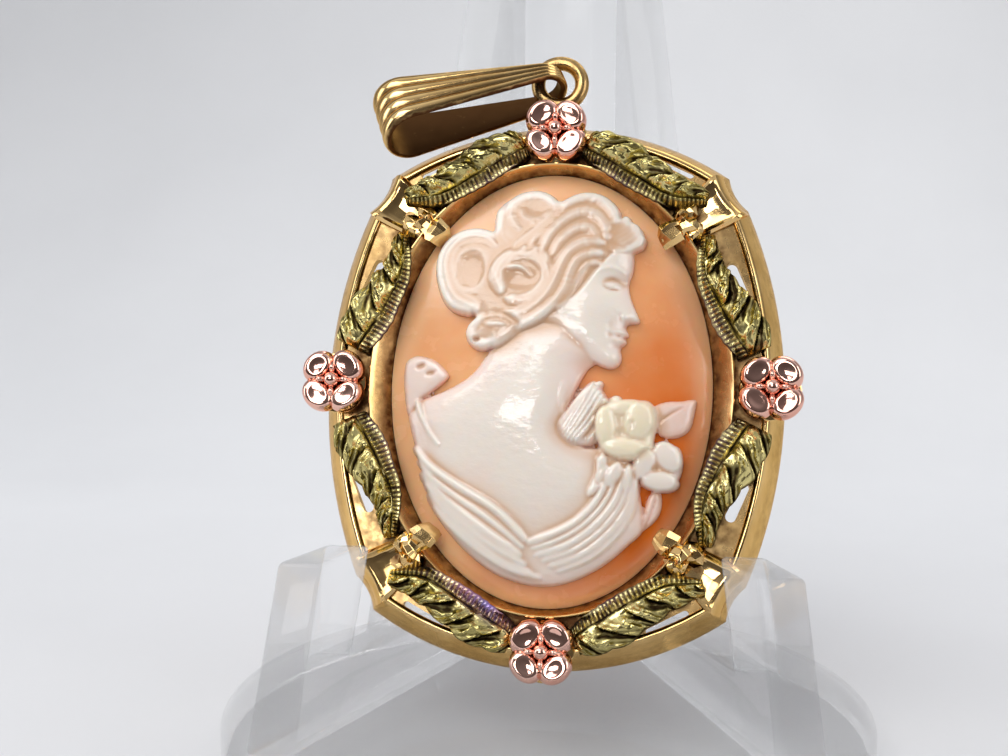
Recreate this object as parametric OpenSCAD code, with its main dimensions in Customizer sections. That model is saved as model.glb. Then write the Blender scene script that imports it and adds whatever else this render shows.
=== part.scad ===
// Oval shell cameo pendant in a pierced gold frame with a fluted bail, leaning on a clear easel.
// The pendant is drawn lying flat: x to the right, y up the pendant, z out of its front.

/* [Cameo] */
// Width of the shell oval, girdle to girdle
cameo_w = 17.8; // [16:0.1:20]
// Height of the shell oval, girdle to girdle
cameo_h = 24.2; // [22:0.1:27]
// Height of the upright edge of the shell
girdle_t = 0.8; // [0.5:0.1:1.2]
// Rise of the domed ground from the girdle to the middle
dome_rise = 1.9; // [1:0.1:2.6]
// Depth of the hollow in the back of the shell
back_hollow = 0.9; // [0.2:0.1:1.2]
// Height of the white carving above the ground
relief_h = 1.15; // [0.7:0.05:1.5]
// Bare orange border left round the carved bust
border_bare = 0.6; // [0.5:0.05:1.2]

/* [Frame] */
// Outward flare of the oval setting at the sides
flare_side = 1.1; // [0.7:0.05:1.5]
// Outward flare of the oval setting at the top and bottom
flare_end = 0.46; // [0.3:0.02:0.9]
// Distance from the rim of the setting to the outer edge of the frame
border_w = 2.95; // [2.6:0.05:3.4]
// Radius of the top and bottom edges of the frame
end_radius = 17.4; // [16.4:0.1:20]
// Radius of the side edges of the frame
side_radius = 28; // [25:0.5:34]
// Radius of the bite out of each corner
scallop_r = 3; // [2:0.1:4]
// Width of the plain rail round the outside
rail_w = 1.4; // [1.2:0.05:1.7]
// Depth of the frame's skirt, back edge to rail
skirt_d = 2.2; // [1.8:0.1:2.8]
// How far the skirt leans in from the back edge to the rail
skirt_lean = 0.9; // [0.6:0.05:1.1]
// Height of the setting's rim above the back edge
rim_z = 3.2; // [2.9:0.1:3.8]
// Height of the seat under the shell above the back edge
seat_z = 1.4; // [1:0.1:1.8]
// Width of the seat under the shell
seat_w = 0.7; // [0.4:0.1:1]
// Length of each claw from the rim over the shell
claw_l = 1.5; // [1.2:0.1:2]
// Width of each claw
claw_w = 1.5; // [1:0.1:1.9]

/* [Flowers and leaves] */
// Width of a flower across its petals
flower_w = 3.7; // [3:0.1:4.2]
// Height of a flower
flower_h = 1.7; // [1.2:0.1:2.2]
// Diameter of the bead in a flower
bead_d = 1.05; // [0.7:0.05:1.4]
// Widest width of a leaf
leaf_w = 2.8; // [2.2:0.1:3]
// Height of a leaf at its thickest
leaf_h = 1.5; // [1:0.1:1.9]

/* [Ring and bail] */
// Diameter of the ring's wire
ring_wire = 0.8; // [0.6:0.05:0.9]
// Outer diameter of the ring
ring_d = 3.3; // [3.2:0.05:4]
// Length of the bail from inside the ring to its wide end
bail_l = 10.7; // [8:0.1:12]
// Width of the bail's strap at its wide end
bail_wide = 3.8; // [2.8:0.1:4.2]
// Width of the bail's strap at the ring
bail_narrow = 0.9; // [0.8:0.05:1]
// Depth of the bail's loop at its wide end
bail_deep = 3.2; // [2.6:0.1:3.6]
// Thickness of the bail's strap between its ridges
bail_t = 0.3; // [0.25:0.01:0.4]
// Height of the ridges along the bail
bail_ridge = 0.14; // [0.05:0.01:0.2]

/* [Easel] */
// Diameter of the round foot
foot_d = 35.8; // [35:0.2:42]
// Thickness of the round foot
foot_t = 2; // [1.5:0.1:3]
// Thickness of the bent clear sheet
sheet_t = 2.2; // [1.6:0.1:2.6]
// Height of the whole easel
easel_h = 47; // [42:0.5:54]
// Height of the ledge that the pendant stands on
ledge_h = 5.7; // [4.5:0.1:7]
// Height of the two front posts
post_h = 11.4; // [9.5:0.1:13.5]
// Depth of each post, front to back
post_d = 3.9; // [3:0.1:4.5]
// Backward lean of the easel and the pendant, in degrees
lean = 16; // [12:0.5:19]

/* [Hidden] */
$fn = 64;

// Gap left between separate pieces that are seated on each other
gap = 0.03;
// Overlap that joins two shapes of one piece
bond = 0.05;
// Height that the carving's underside clears the ground by, so that its facets don't touch the dome
facet_room = 0.14;
// Reach of a cut past the face that it starts from
past = 1;

// Half sizes of the setting's rim and of the frame, worked out from the shell outwards
seat_a = cameo_w / 2 + gap;
seat_b = cameo_h / 2 + gap;
rim_a = seat_a + flare_side;
rim_b = seat_b + flare_end;
frame_a = rim_a + border_w;
frame_b = rim_b + border_w;
rim_lip = 0.12;
collet_wall = 0.5;

// Heights above the frame's back edge
girdle_z = seat_z + girdle_t;
plate_z = skirt_d;
plate_t = 0.7;
bevel_h = 0.25;
flower_lift = 0.55;
flower_z = skirt_d + flower_lift;
flower_pad_t = 1.1;

// Centre of the bite out of each corner, as a share of the frame's half sizes
scallop_share = [0.985, 0.833];
scallop_x = scallop_share[0] * frame_a;
scallop_y = scallop_share[1] * frame_b;

// Angle round the rim of a corner's middle
corner_angle = 45;

// Width over which the carving's edge rounds down
pillow_w = 0.9;

// Places of the flowers across the border, as shares of its width
flower_end_share = 0.582;
flower_side_share = 0.648;

// Ring: it stands on the top edge of the frame, a little right of the middle
ring_r = (ring_d - ring_wire) / 2;
ring_off = 0.07;
ring_neck = 0.4;
ring_y = frame_b + ring_d / 2 + ring_neck;
ring_z = 1.9;

// Pose of the bail, lying down on the left shoulder of the frame
bail_rest = 196;
bail_roll = 28;
bail_rise = 10;
bail_tip = 0.1;
bail_near_r = 1;

// Easel: the sheet's half width narrows from its front edges to its bend
post_clear = 1.45;
foot_r = foot_d / 2;
spread_front = frame_a + post_clear;
spread_back = 2.9;
sheet_front = -9.8;
sheet_back = 17;
rest_y = -1.8;
top_depth = 7.5;

// Leaves, a row for each section: angle round the rim, place across the border as a share of its
// width, half width as a share of half the leaf's, height as a share of the leaf's
LEAF_END = [
    [81.5, 0.46, 0.54, 0.62],
    [77.5, 0.40, 0.76, 0.90],
    [71.5, 0.345, 0.90, 1.00],
    [65.5, 0.285, 0.87, 1.00],
    [59.5, 0.285, 0.80, 0.96],
    [54.5, 0.35, 0.72, 0.90],
    [50.2, 0.55, 0.52, 0.80],
    [47.0, 0.74, 0.28, 0.60]];
LEAF_SIDE = [
    [8.5, 0.42, 0.72, 0.62],
    [13.0, 0.29, 0.94, 0.90],
    [18.0, 0.16, 0.98, 1.00],
    [23.0, 0.07, 0.84, 1.00],
    [28.0, 0.02, 0.68, 0.96],
    [32.5, 0.07, 0.48, 0.88],
    [36.0, 0.19, 0.36, 0.80],
    [39.5, 0.32, 0.20, 0.62]];
// Top of a leaf's cross-section, as shares of its half width and height: edge, lobe, vein and crest
LEAF_TOP = [[-1, 0.42], [-0.72, 0.86], [-0.2, 0.70], [0.12, 1], [0.66, 0.80], [1, 0.36]];
leaf_edge_t = 0.35;
leaf_steps = 2;

// Where a leaf steps down outside the setting's rim, and how wide the step is
rim_clear = 0.08;
rim_step = 0.2;

// Openings through the border, a row each: angle, place across the border and radius of one end, then of the other
SLOTS = [[63.5, 0.74, 0.17, 54.5, 0.87, 0.22], [30, 0.46, 0.30, 22.5, 0.50, 0.24]];
plate_inset = 1;

// Face in profile, drawn on the usual thirds of a head: forward and up, as shares of the face's height
FACE = [[-0.30, 0.98], [0.40, 1.02], [0.45, 0.86], [0.46, 0.70], [0.435, 0.63], [0.49, 0.50], [0.565, 0.385],
    [0.55, 0.345], [0.475, 0.335], [0.465, 0.30], [0.50, 0.265], [0.485, 0.235], [0.465, 0.222], [0.49, 0.195],
    [0.475, 0.155], [0.45, 0.13], [0.475, 0.085], [0.46, 0.03], [0.41, 0], [0.30, 0.015], [0.12, 0.10], [-0.25, 0.20]];
face_h_share = 0.32;
face_tilt = -7;
face_at = [0.03, 0.095];

// Neck, shoulder and drape as one outline, in shares of the half sizes of the shell
BUST = [[-0.29, 0.27], [-0.385, 0.16], [-0.46, 0.07], [-0.62, 0.03], [-0.76, 0.07], [-0.90, 0.10], [-0.935, 0.06],
    [-0.90, -0.10], [-0.84, -0.29], [-0.70, -0.545], [-0.475, -0.76], [-0.14, -0.885], [0.13, -0.89], [0.425, -0.775],
    [0.60, -0.63], [0.62, -0.46], [0.56, -0.20], [0.40, -0.02], [0.30, 0.05], [0.28, 0.16], [0.1, 0.24]];
// Locks of the upswept hair, a row each: across, up, half length, half width, height, angle
LOCKS = [
    [-0.51, 0.505, 0.27, 0.19, 1.00, 95], [-0.17, 0.48, 0.17, 0.16, 1.15, 80], [-0.19, 0.755, 0.17, 0.16, 1.00, 20],
    [0.19, 0.755, 0.26, 0.17, 1.05, -8], [0.40, 0.72, 0.15, 0.12, 0.98, -40], [0.50, 0.67, 0.13, 0.08, 0.85, -60],
    [0.02, 0.43, 0.35, 0.13, 1.10, 45], [0.22, 0.58, 0.26, 0.12, 1.12, 25], [-0.14, 0.33, 0.24, 0.11, 1.05, 42],
    [-0.37, 0.22, 0.17, 0.09, 0.82, 20], [-0.36, 0.68, 0.19, 0.13, 1.00, 50], [0.00, 0.66, 0.26, 0.14, 1.08, 10]];
// Folds of the drape, a row each: start across, up, end across, up, half width, height
FOLDS = [
    [-0.80, -0.36, -0.40, -0.62, 0.045, 1.00], [-0.40, -0.62, 0.06, -0.76, 0.045, 1.00],
    [-0.80, -0.20, -0.30, -0.56, 0.035, 0.98], [0.06, -0.80, 0.50, -0.50, 0.045, 1.00],
    [0.02, -0.70, 0.44, -0.38, 0.035, 0.98], [0.14, -0.86, 0.58, -0.60, 0.040, 0.92],
    [0.10, -0.12, 0.30, -0.24, 0.025, 1.00], [0.18, -0.04, 0.34, -0.14, 0.025, 1.00],
    [-0.86, 0.06, -0.66, 0.00, 0.035, 0.95], [-0.87, -0.02, -0.80, -0.20, 0.030, 0.95]];
// Petals of the carved roses, a row each: across, up, half length, half width, height, angle
ROSES = [
    [0.44, -0.15, 0.13, 0.10, 1.15, 90], [0.55, -0.15, 0.12, 0.09, 1.12, 20], [0.48, -0.25, 0.15, 0.08, 1.08, 8],
    [0.67, -0.33, 0.11, 0.07, 0.95, 70], [0.62, -0.39, 0.11, 0.07, 0.95, -20], [0.45, -0.40, 0.11, 0.06, 0.92, 50],
    [0.60, -0.50, 0.10, 0.06, 0.85, 65]];
// Carved leaves, a row each as for the petals
SPRAYS = [[0.75, -0.12, 0.13, 0.07, 0.72, 40], [0.77, -0.18, 0.11, 0.05, 0.66, 20], [0.62, -0.53, 0.11, 0.05, 0.60, -70]];
// Heights up the shell of the rows of points over the carving, as shares: start, end and how many steps between
CARVE_ROWS = [[-0.935, -0.50, 10], [-0.50, -0.10, 9], [-0.10, -0.02, 8], [-0.02, 0.12, 10], [0.12, 0.66, 17], [0.66, 0.935, 9]];
carve_columns = 24;
// A solid through a list of closed sections that have the same number of points
module loft(sections, closed = false, reverse = false) {
    n = len(sections[0]);
    m = len(sections);
    points = [for (s = sections) for (p = s) p];
    last = closed ? m - 1 : m - 2;
    sides = [for (j = [0:last]) for (i = [0:n - 1])
        let (a = j * n, b = (j + 1) % m * n, k = (i + 1) % n)
        each [[a + i, a + k, b + k], [a + i, b + k, b + i]]];
    ends = closed ? [] : [[for (i = [n - 1:-1:0]) i], [for (i = [0:n - 1]) (m - 1) * n + i]];
    faces = concat(sides, ends);
    turned = reverse ? [for (f = faces) [for (i = [len(f) - 1:-1:0]) f[i]]] : faces;
    polyhedron(points = points, faces = turned, convexity = 6);
}

// A list smoothed by a curve through its rows, with steps places in each stretch
function smooth(rows, steps) = [for (i = [0:len(rows) - 2]) for (k = [0:steps - (i == len(rows) - 2 ? 0 : 1)])
    let (t = k / steps, p = rows[max(i - 1, 0)], q = rows[i], r = rows[i + 1], s = rows[min(i + 2, len(rows) - 1)])
    q + t * (r - p) / 2 + t * t * (p - 2.5 * q + 2 * r - s / 2) + t * t * t * (1.5 * (q - r) + (s - p) / 2)];

// A point of the setting's rim, and the outward direction there
function rim_point(angle) = [rim_a * cos(angle), rim_b * sin(angle)];
function rim_out(angle) = let (d = [rim_b * cos(angle), rim_a * sin(angle)]) d / norm(d);

// A point of the border: angle round the rim, and share of the way across
function border_point(angle, share) = rim_point(angle) + share * border_w * rim_out(angle);

module oval(a, b, steps = 48) {
    scale([a, b]) circle(1, $fn = steps);
}

// A solid between two ovals at two heights
module oval_cone(low_a, low_b, low_z, high_a, high_b, high_z) {
    sliver = 0.01;
    hull() {
        translate([0, 0, low_z]) linear_extrude(sliver) oval(low_a, low_b);
        translate([0, 0, high_z - sliver]) linear_extrude(sliver) oval(high_a, high_b);
    }
}

// The frame's outline as a solid whose walls lean in, inset from the back edge by low and high
module outline_solid(low, high, low_z, high_z) {
    h = high_z - low_z;
    translate([0, 0, low_z]) difference() {
        intersection() {
            for_sides(frame_b - end_radius, 90) cylinder(r1 = end_radius - low, r2 = end_radius - high, h = h, $fn = 100);
            for_sides(frame_a - side_radius, 0) cylinder(r1 = side_radius - low, r2 = side_radius - high, h = h, $fn = 120);
        }
        for (x = [-1, 1], y = [-1, 1])
            translate([x * scallop_x, y * scallop_y, -past / 100])
                cylinder(r1 = scallop_r + low, r2 = scallop_r + high, h = h + past / 50, $fn = 72);
    }
}

// The overlap of a shape moved out both ways along a direction
module for_sides(distance, angle) {
    intersection() {
        rotate(angle) translate([distance, 0, 0]) children();
        rotate(angle + 180) translate([distance, 0, 0]) children();
    }
}

module rail() {
    shoulder_z = skirt_d + bevel_h;
    difference() {
        union() {
            outline_solid(0, skirt_lean, 0, skirt_d);
            outline_solid(skirt_lean, skirt_lean + bevel_h, skirt_d - bond / 5, shoulder_z);
        }
        outline_solid(rail_w - skirt_lean, rail_w, -past / 10, skirt_d);
        outline_solid(rail_w, rail_w - bevel_h, skirt_d - bond / 5, shoulder_z + past / 10);
    }
}

module setting() {
    difference() {
        oval_cone(seat_a + collet_wall, seat_b + flare_end * 0.8, plate_z - plate_t * 2, rim_a, rim_b, rim_z);
        oval_cone(seat_a, seat_b, girdle_z, rim_a - rim_lip, rim_b - rim_lip, rim_z + bond / 5);
        translate([0, 0, seat_z]) linear_extrude(girdle_t + bond) oval(seat_a, seat_b, 96);
        translate([0, 0, -past]) linear_extrude(rim_z) oval(seat_a - seat_w, seat_b - seat_w);
    }
}

// A polished scoop from the rim of the setting out to each corner, with a ridge along both edges
module corner_panel() {
    start = border_point(corner_angle, -0.12);
    away = [scallop_x, scallop_y] - start;
    end = [scallop_x, scallop_y] - (scallop_r + rail_w * 0.3) * away / norm(away);
    along = (end - start) / norm(end - start);
    side = [-along[1], along[0]];
    // A row each: way along, reach towards the end of the frame and towards its side, height of the ridges
    reach = [[0, 0.9, 0.9, 0.14], [0.35, 1.15, 1.05, 0.2], [0.7, 1.6, 1.35, 0.24], [1, 1.6, 1.65, 0.4]];
    cut = [[-1, 0], [-1, 0.7], [-0.86, 1], [-0.45, 0.25], [0, 0], [0.45, 0.25], [0.86, 1], [1, 0.7], [1, 0]];
    base_z = plate_z - plate_t;
    loft([for (s = reach) let (c = start + s[0] * (end - start))
        [for (p = cut) let (q = c + p[0] * (p[0] > 0 ? s[1] : s[2]) * side)
            [q[0], q[1], p == cut[0] || p == cut[8] ? base_z : plate_z + p[1] * s[3]]]]);
}

// A claw folded from the rim over the edge of the shell, with a knuckle behind it
module claw() {
    tip_t = 0.12;
    back_t = 0.1;
    crown = [0.3, claw_w * 0.2, 0.25];
    root_t = 0.35;
    knuckle_d = 0.3;
    knuckle_rise = 0.2;
    knuckle_back = 0.85;
    root = rim_point(corner_angle);
    turn = atan2(rim_out(corner_angle)[1], rim_out(corner_angle)[0]);
    tip_z = dome_z(root - (claw_l + claw_w * 0.3) * rim_out(corner_angle)) + 2 * gap;
    translate([root[0], root[1], 0]) rotate(turn) {
        hull() {
            translate([-claw_l, -claw_w * 0.42, tip_z]) cube([back_t, claw_w * 0.84, tip_t]);
            translate([-claw_l * 0.55, -crown[1] / 2, rim_z + back_t]) cube(crown);
            translate([-crown[2], -claw_w * 0.5, rim_z - crown[2]]) cube([back_t, claw_w, root_t]);
        }
        hull() {
            translate([-knuckle_d, -claw_w * 0.35, plate_z])
                cube([knuckle_d, claw_w * 0.7, rim_z - plate_z + knuckle_rise]);
            translate([knuckle_back - back_t, -claw_w * 0.45, plate_z]) cube([back_t, claw_w * 0.9, rim_z - plate_z]);
        }
    }
}

// The four quarters of a shape drawn at the upper right
module quarters() {
    children();
    mirror([1, 0, 0]) children();
    mirror([0, 1, 0]) children();
    rotate(180) children();
}

function leaf_rows(table) = smooth(table, leaf_steps);
function leaf_mid(row) = border_point(row[0], row[1]);
function leaf_half(row) = row[2] * leaf_w / 2;

// Unit direction across a leaf at one of its rows, away from the shell
function leaf_side(rows, i) =
    let (d = leaf_mid(rows[min(i + 1, len(rows) - 1)]) - leaf_mid(rows[max(i - 1, 0)]), s = [d[1], -d[0]] / norm(d))
    s * sign(s * leaf_mid(rows[i]));

// The plate that fills the border under the leaves, pierced beside each of them
module border_plate() {
    difference() {
        outline_solid(plate_inset, plate_inset, plate_z - plate_t, plate_z);
        translate([0, 0, plate_z - 2 * plate_t]) linear_extrude(3 * plate_t)
            oval(seat_a + collet_wall / 2, seat_b + flare_end * 0.4);
        quarters() for (s = SLOTS) translate([0, 0, plate_z - 2 * plate_t]) linear_extrude(3 * plate_t) hull() {
            translate(border_point(s[0], s[1])) circle(s[2], $fn = 12);
            translate(border_point(s[3], s[4])) circle(s[5], $fn = 12);
        }
    }
}

function flower_at(angle) = border_point(angle, abs(cos(angle)) > 0.5 ? flower_side_share : flower_end_share);

module flower_pad(angle) {
    p = flower_at(angle);
    translate([p[0], p[1], flower_z - flower_pad_t]) cylinder(d = flower_w * 0.8, h = flower_pad_t - gap, $fn = 20);
}

module jump_ring() {
    translate([ring_off, ring_y, ring_z]) {
        rotate_extrude($fn = 28) translate([ring_r, 0]) circle(d = ring_wire, $fn = 10);
        hull() {
            translate([0, -ring_r, 0]) sphere(d = ring_wire * 0.9, $fn = 8);
            translate([0, -ring_r - ring_wire * 1.6, -ring_z / 4]) sphere(d = ring_wire * 1.3, $fn = 8);
        }
    }
}

module frame() {
    color("goldenrod") on_easel() union() {
        rail();
        setting();
        border_plate();
        quarters() {
            corner_panel();
            claw();
        }
        for (angle = [0:90:270]) flower_pad(angle);
        jump_ring();
    }
}

// A ball stretched to the oval of the shell, which rises by rise over a half width, up to a height
module stretched_ball(half, rise, top) {
    r = (half * half + rise * rise) / (2 * rise);
    scale([1, cameo_h / cameo_w, 1]) translate([0, 0, top - r]) sphere(r, $fn = 200);
}

module cameo_ground() {
    color("sandybrown") on_easel() translate([0, 0, seat_z + gap]) difference() {
        intersection() {
            stretched_ball(cameo_w / 2, dome_rise, girdle_t + dome_rise);
            linear_extrude(girdle_t + dome_rise) oval(cameo_w / 2, cameo_h / 2, 96);
        }
        stretched_ball(cameo_w / 2 - seat_w, back_hollow, back_hollow);
    }
}

function on_shell(x, y) = [x * cameo_w / 2, y * cameo_h / 2];
function dome_z(p) = let (a = cameo_w / 2, b = cameo_h / 2, s = norm([p[0] / a, p[1] / b]))
    seat_z + girdle_t + dome_rise * (1 - s * s);

// The outline of a lock or petal as a polygon
function lump_outline(row) = let (c = on_shell(row[0], row[1]), s = cameo_w / 2)
    [for (i = [0:19]) let (u = row[2] * s * cos(18 * i), v = row[3] * s * sin(18 * i))
        c + [u * cos(row[5]) - v * sin(row[5]), u * sin(row[5]) + v * cos(row[5])]];

// Height of a rounded lock or petal over a place, as a share of the carving's height
function lump_height(row, p) =
    let (d = (p - on_shell(row[0], row[1])) / (cameo_w / 2),
        u = (d[0] * cos(row[5]) + d[1] * sin(row[5])) / row[2],
        v = (d[1] * cos(row[5]) - d[0] * sin(row[5])) / row[3])
    row[4] * sqrt(max(0, 1 - u * u - v * v));

// Height of a fold over a place, as a share of the carving's height
function fold_height(row, p) =
    let (a = on_shell(row[0], row[1]), b = on_shell(row[2], row[3]), t = (p - a) * (b - a) / ((b - a) * (b - a)),
        d = norm(p - a - max(0, min(1, t)) * (b - a)) / (row[4] * cameo_w / 2))
    row[5] * (d < 1 ? sqrt(1 - d * d) : 0);

face_h = face_h_share * cameo_h;
FACE_OUTLINE = [for (p = FACE) on_shell(face_at[0], face_at[1])
    + face_h * [p[0] * cos(face_tilt) - p[1] * sin(face_tilt), p[0] * sin(face_tilt) + p[1] * cos(face_tilt)]];
OUTLINES = concat([FACE_OUTLINE, [for (p = BUST) on_shell(p[0], p[1])]], [for (row = concat(LOCKS, ROSES, SPRAYS)) lump_outline(row)]);

// Places where a row across the shell crosses the outlines of the carving
function crossings(y) = [for (line = OUTLINES) for (i = [0:len(line) - 1])
    let (p = line[i], q = line[(i + 1) % len(line)])
    if ((p[1] > y) != (q[1] > y)) p[0] + (q[0] - p[0]) * (y - p[1]) / (q[1] - p[1])];

// Height of the carving over the ground: a pillow that falls to its edges, with the locks, petals and folds on it
function carved_height(p, left, right) =
    let (t = max(0, min(1, min(p[0] - left, right - p[0]) / pillow_w)), pillow = 0.34 + 0.42 * sqrt(1 - (1 - t) * (1 - t)))
    relief_h * max(pillow, max([for (row = concat(LOCKS, ROSES, SPRAYS)) lump_height(row, p)]),
        max([for (row = FOLDS) fold_height(row, p)]));

module cameo_relief() {
    inside_a = cameo_w / 2 - border_bare;
    inside_b = cameo_h / 2 - border_bare;
    heights = [for (part = CARVE_ROWS) for (k = [0:part[2] - 1]) part[0] + (part[1] - part[0]) * k / part[2]];
    color("linen") on_easel() loft([for (share = heights)
        let (y = share * inside_b, edge = inside_a * sqrt(1 - share * share), xs = crossings(y),
            left = max(min(xs), -edge), right = min(max(xs), edge))
        concat([for (k = [0:carve_columns]) let (p = [left + (right - left) * k / carve_columns, y])
                [p[0], y, dome_z(p) + gap + carved_height(p, left, right)]],
            [for (k = [carve_columns:-2:0]) let (p = [left + (right - left) * k / carve_columns, y])
                [p[0], y, dome_z(p) + gap + facet_room]])], reverse = true);
}

// Four puffed petals on the diagonals round a bead
module flower(angle) {
    p = flower_at(angle);
    petal_r = flower_w * 0.27;
    petal_off = flower_w * 0.175;
    color("rosybrown") on_easel() translate([p[0], p[1], flower_z]) {
        for (turn = [45:90:315]) rotate(turn) translate([petal_off * 1.2, 0, 0]) petal(petal_r);
        hull() {
            translate([0, 0, flower_h * 0.72]) sphere(d = bead_d, $fn = 10);
            cylinder(d = bead_d, h = flower_h * 0.3, $fn = 10);
        }
    }
}

// A petal with a rolled rim and a shallow dish
module petal(r) {
    steps = 10;
    ring = [[0.72, 0], [1, 0.3], [1, 0.62], [0.78, 0.86], [0.3, 0.72]];
    loft([for (level = ring) [for (i = [0:steps - 1]) let (a = -360 * i / steps, long = 1 + 0.12 * cos(2 * a))
        [level[0] * r * long * cos(a), level[0] * r * sin(a), level[1] * flower_h]]]);
}

// A leaf's cross-section at one of its rows, a row each: place, height share, and 1 where the leaf lies on the
// setting's rim or 0 where it lies on the plate
function leaf_cut(row) =
    let (half = leaf_half(row), step = max(-0.9, min(0.7, (rim_clear - row[1] * border_w) / half)))
    concat([[-1, 0, 1]], [for (p = LEAF_TOP) [p[0], p[1], p[0] > step ? 0 : 1]],
        [[1, 0, 0], [step + rim_step / half, 0, 0], [step, 0, 1]]);

leaf_low = skirt_d + bevel_h + gap;
leaf_high = rim_z + gap;

// A leaf along the border, cut with a vein
module leaf(table, flip_x, flip_y) {
    rows = leaf_rows(table);
    color("olivedrab") on_easel() mirror([flip_x, 0, 0]) mirror([0, flip_y, 0])
        loft([for (i = [0:len(rows) - 1]) let (side = leaf_side(rows, i), mid = leaf_mid(rows[i]))
            [for (p = leaf_cut(rows[i])) let (q = mid + p[0] * leaf_half(rows[i]) * side)
                let (under = p[2] == 1 ? leaf_high : leaf_low)
                [q[0], q[1], p[1] == 0 ? under : max(leaf_low + p[1] * rows[i][3] * leaf_h, under + leaf_edge_t)]]],
            reverse = table[0][0] < table[1][0]);
}

// One section of the bail's strap: half its outside is ridged, and its inside is plain
function strap_cut(centre, radius, angle) =
    let (out = [cos(angle), sin(angle)], inner = centre + radius * out,
        half = (bail_narrow + (bail_wide - bail_narrow) * max(0, inner[0]) / bail_l) / 2)
    concat([[inner[0], -half, inner[1]], [inner[0], half, inner[1]]],
        [for (k = [4:-1:-4]) let (q = inner + (bail_t + (k % 2 == 0 ? 0 : bail_ridge)) * out)
            [q[0], half * k / 4, q[1]]]);

module bail() {
    far_r = bail_deep / 2 - bail_t;
    near = [bail_tip + bail_near_r, 0];
    far = [bail_l - bail_t - bail_ridge - far_r, 0];
    slope = asin((far_r - bail_near_r) / (far[0] - near[0]));
    steps = 10;
    round_far = [for (i = [0:steps]) strap_cut(far, far_r, -(90 + slope) + i * 2 * (90 + slope) / steps)];
    round_near = [for (i = [0:steps]) strap_cut(near, bail_near_r, 90 + slope + i * 2 * (90 - slope) / steps)];
    color("darkkhaki") on_easel() translate([ring_off, ring_y, ring_z])
        rotate(bail_rest) rotate([0, -bail_rise, 0]) rotate([bail_roll, 0, 0])
            loft(concat(round_far, round_near), closed = true);
}

// Half width of the easel's sheet at a place front to back
function spread(y) = spread_front + (spread_back - spread_front) * (y - sheet_front) / (sheet_back - sheet_front);

// Front edge of the easel's back at a height, where the pendant rests
function rest_edge(z) = rest_y + z * tan(lean);

// Height of the lowest touch of the frame on the ledge, below the pendant's middle
touch_x = spread(rest_edge(ledge_h)) - sheet_t / cos(lean);
touch_y = sqrt(end_radius * end_radius - touch_x * touch_x) + frame_b - end_radius;
pendant_z = ledge_h + gap + touch_y * cos(lean);
pendant_y = rest_edge(pendant_z) - gap / cos(lean);

// Stands the flat pendant up, leaning back on the easel
module on_easel() {
    translate([0, pendant_y, pendant_z]) rotate([90 - lean, 0, 0]) children();
}

module easel_foot() {
    color("lightcyan") cylinder(d = foot_d, h = foot_t, $fn = 128);
}

// The bent sheet seen from above
module sheet_plan() {
    wall_x = sheet_t / cos(atan((spread_front - spread_back) / (sheet_back - sheet_front)));
    difference() {
        polygon([[-spread_front, sheet_front], [spread_front, sheet_front],
            [spread_back, sheet_back], [-spread_back, sheet_back]]);
        polygon([[-spread(sheet_front - past) + wall_x, sheet_front - past],
            [spread(sheet_front - past) - wall_x, sheet_front - past],
            [spread(sheet_back - sheet_t) - wall_x, sheet_back - sheet_t],
            [wall_x - spread(sheet_back - sheet_t), sheet_back - sheet_t]]);
    }
}

// The bent sheet seen from the side: post, ledge and leaning back
module sheet_side() {
    post_lean = tan(lean);
    post_top = sheet_front + (post_h - foot_t) * post_lean;
    ledge_front = sheet_front + (ledge_h - foot_t) * post_lean + post_d;
    polygon([[sheet_front, foot_t + gap], [post_top, post_h], [post_top + post_d, post_h],
        [ledge_front, ledge_h], [rest_edge(ledge_h), ledge_h], [rest_edge(easel_h), easel_h],
        [rest_edge(easel_h) + top_depth, easel_h], [sheet_back + past, foot_t + gap]]);
}

module easel_back() {
    color("azure") intersection() {
        translate([0, 0, 0]) linear_extrude(easel_h) sheet_plan();
        translate([-foot_r, 0, 0]) rotate([90, 0, 90]) linear_extrude(foot_d) sheet_side();
    }
}

frame();
cameo_ground();
cameo_relief();
flower(90);  // flower_top
flower(0);  // flower_right
flower(270);  // flower_bottom
flower(180);  // flower_left
leaf(LEAF_END, 0, 0);  // leaf_top_right
leaf(LEAF_SIDE, 0, 0);  // leaf_right_upper
leaf(LEAF_SIDE, 0, 1);  // leaf_right_lower
leaf(LEAF_END, 0, 1);  // leaf_bottom_right
leaf(LEAF_END, 1, 1);  // leaf_bottom_left
leaf(LEAF_SIDE, 1, 1);  // leaf_left_lower
leaf(LEAF_SIDE, 1, 0);  // leaf_left_upper
leaf(LEAF_END, 1, 0);  // leaf_top_left
bail();
easel_foot();
easel_back();
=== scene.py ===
# %% [markdown]
# # A carved shell cameo on a clear easel
# The real thing is an oval of shell, carved through its white layer down to the orange one, in a
# pierced yellow gold frame with rose gold flowers and green gold leaves. It leans on a small easel
# of clear acrylic. The solids come from the part's own source, and this script dresses them.
# It begins with those solids, so that every piece made here is placed against them.

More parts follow.
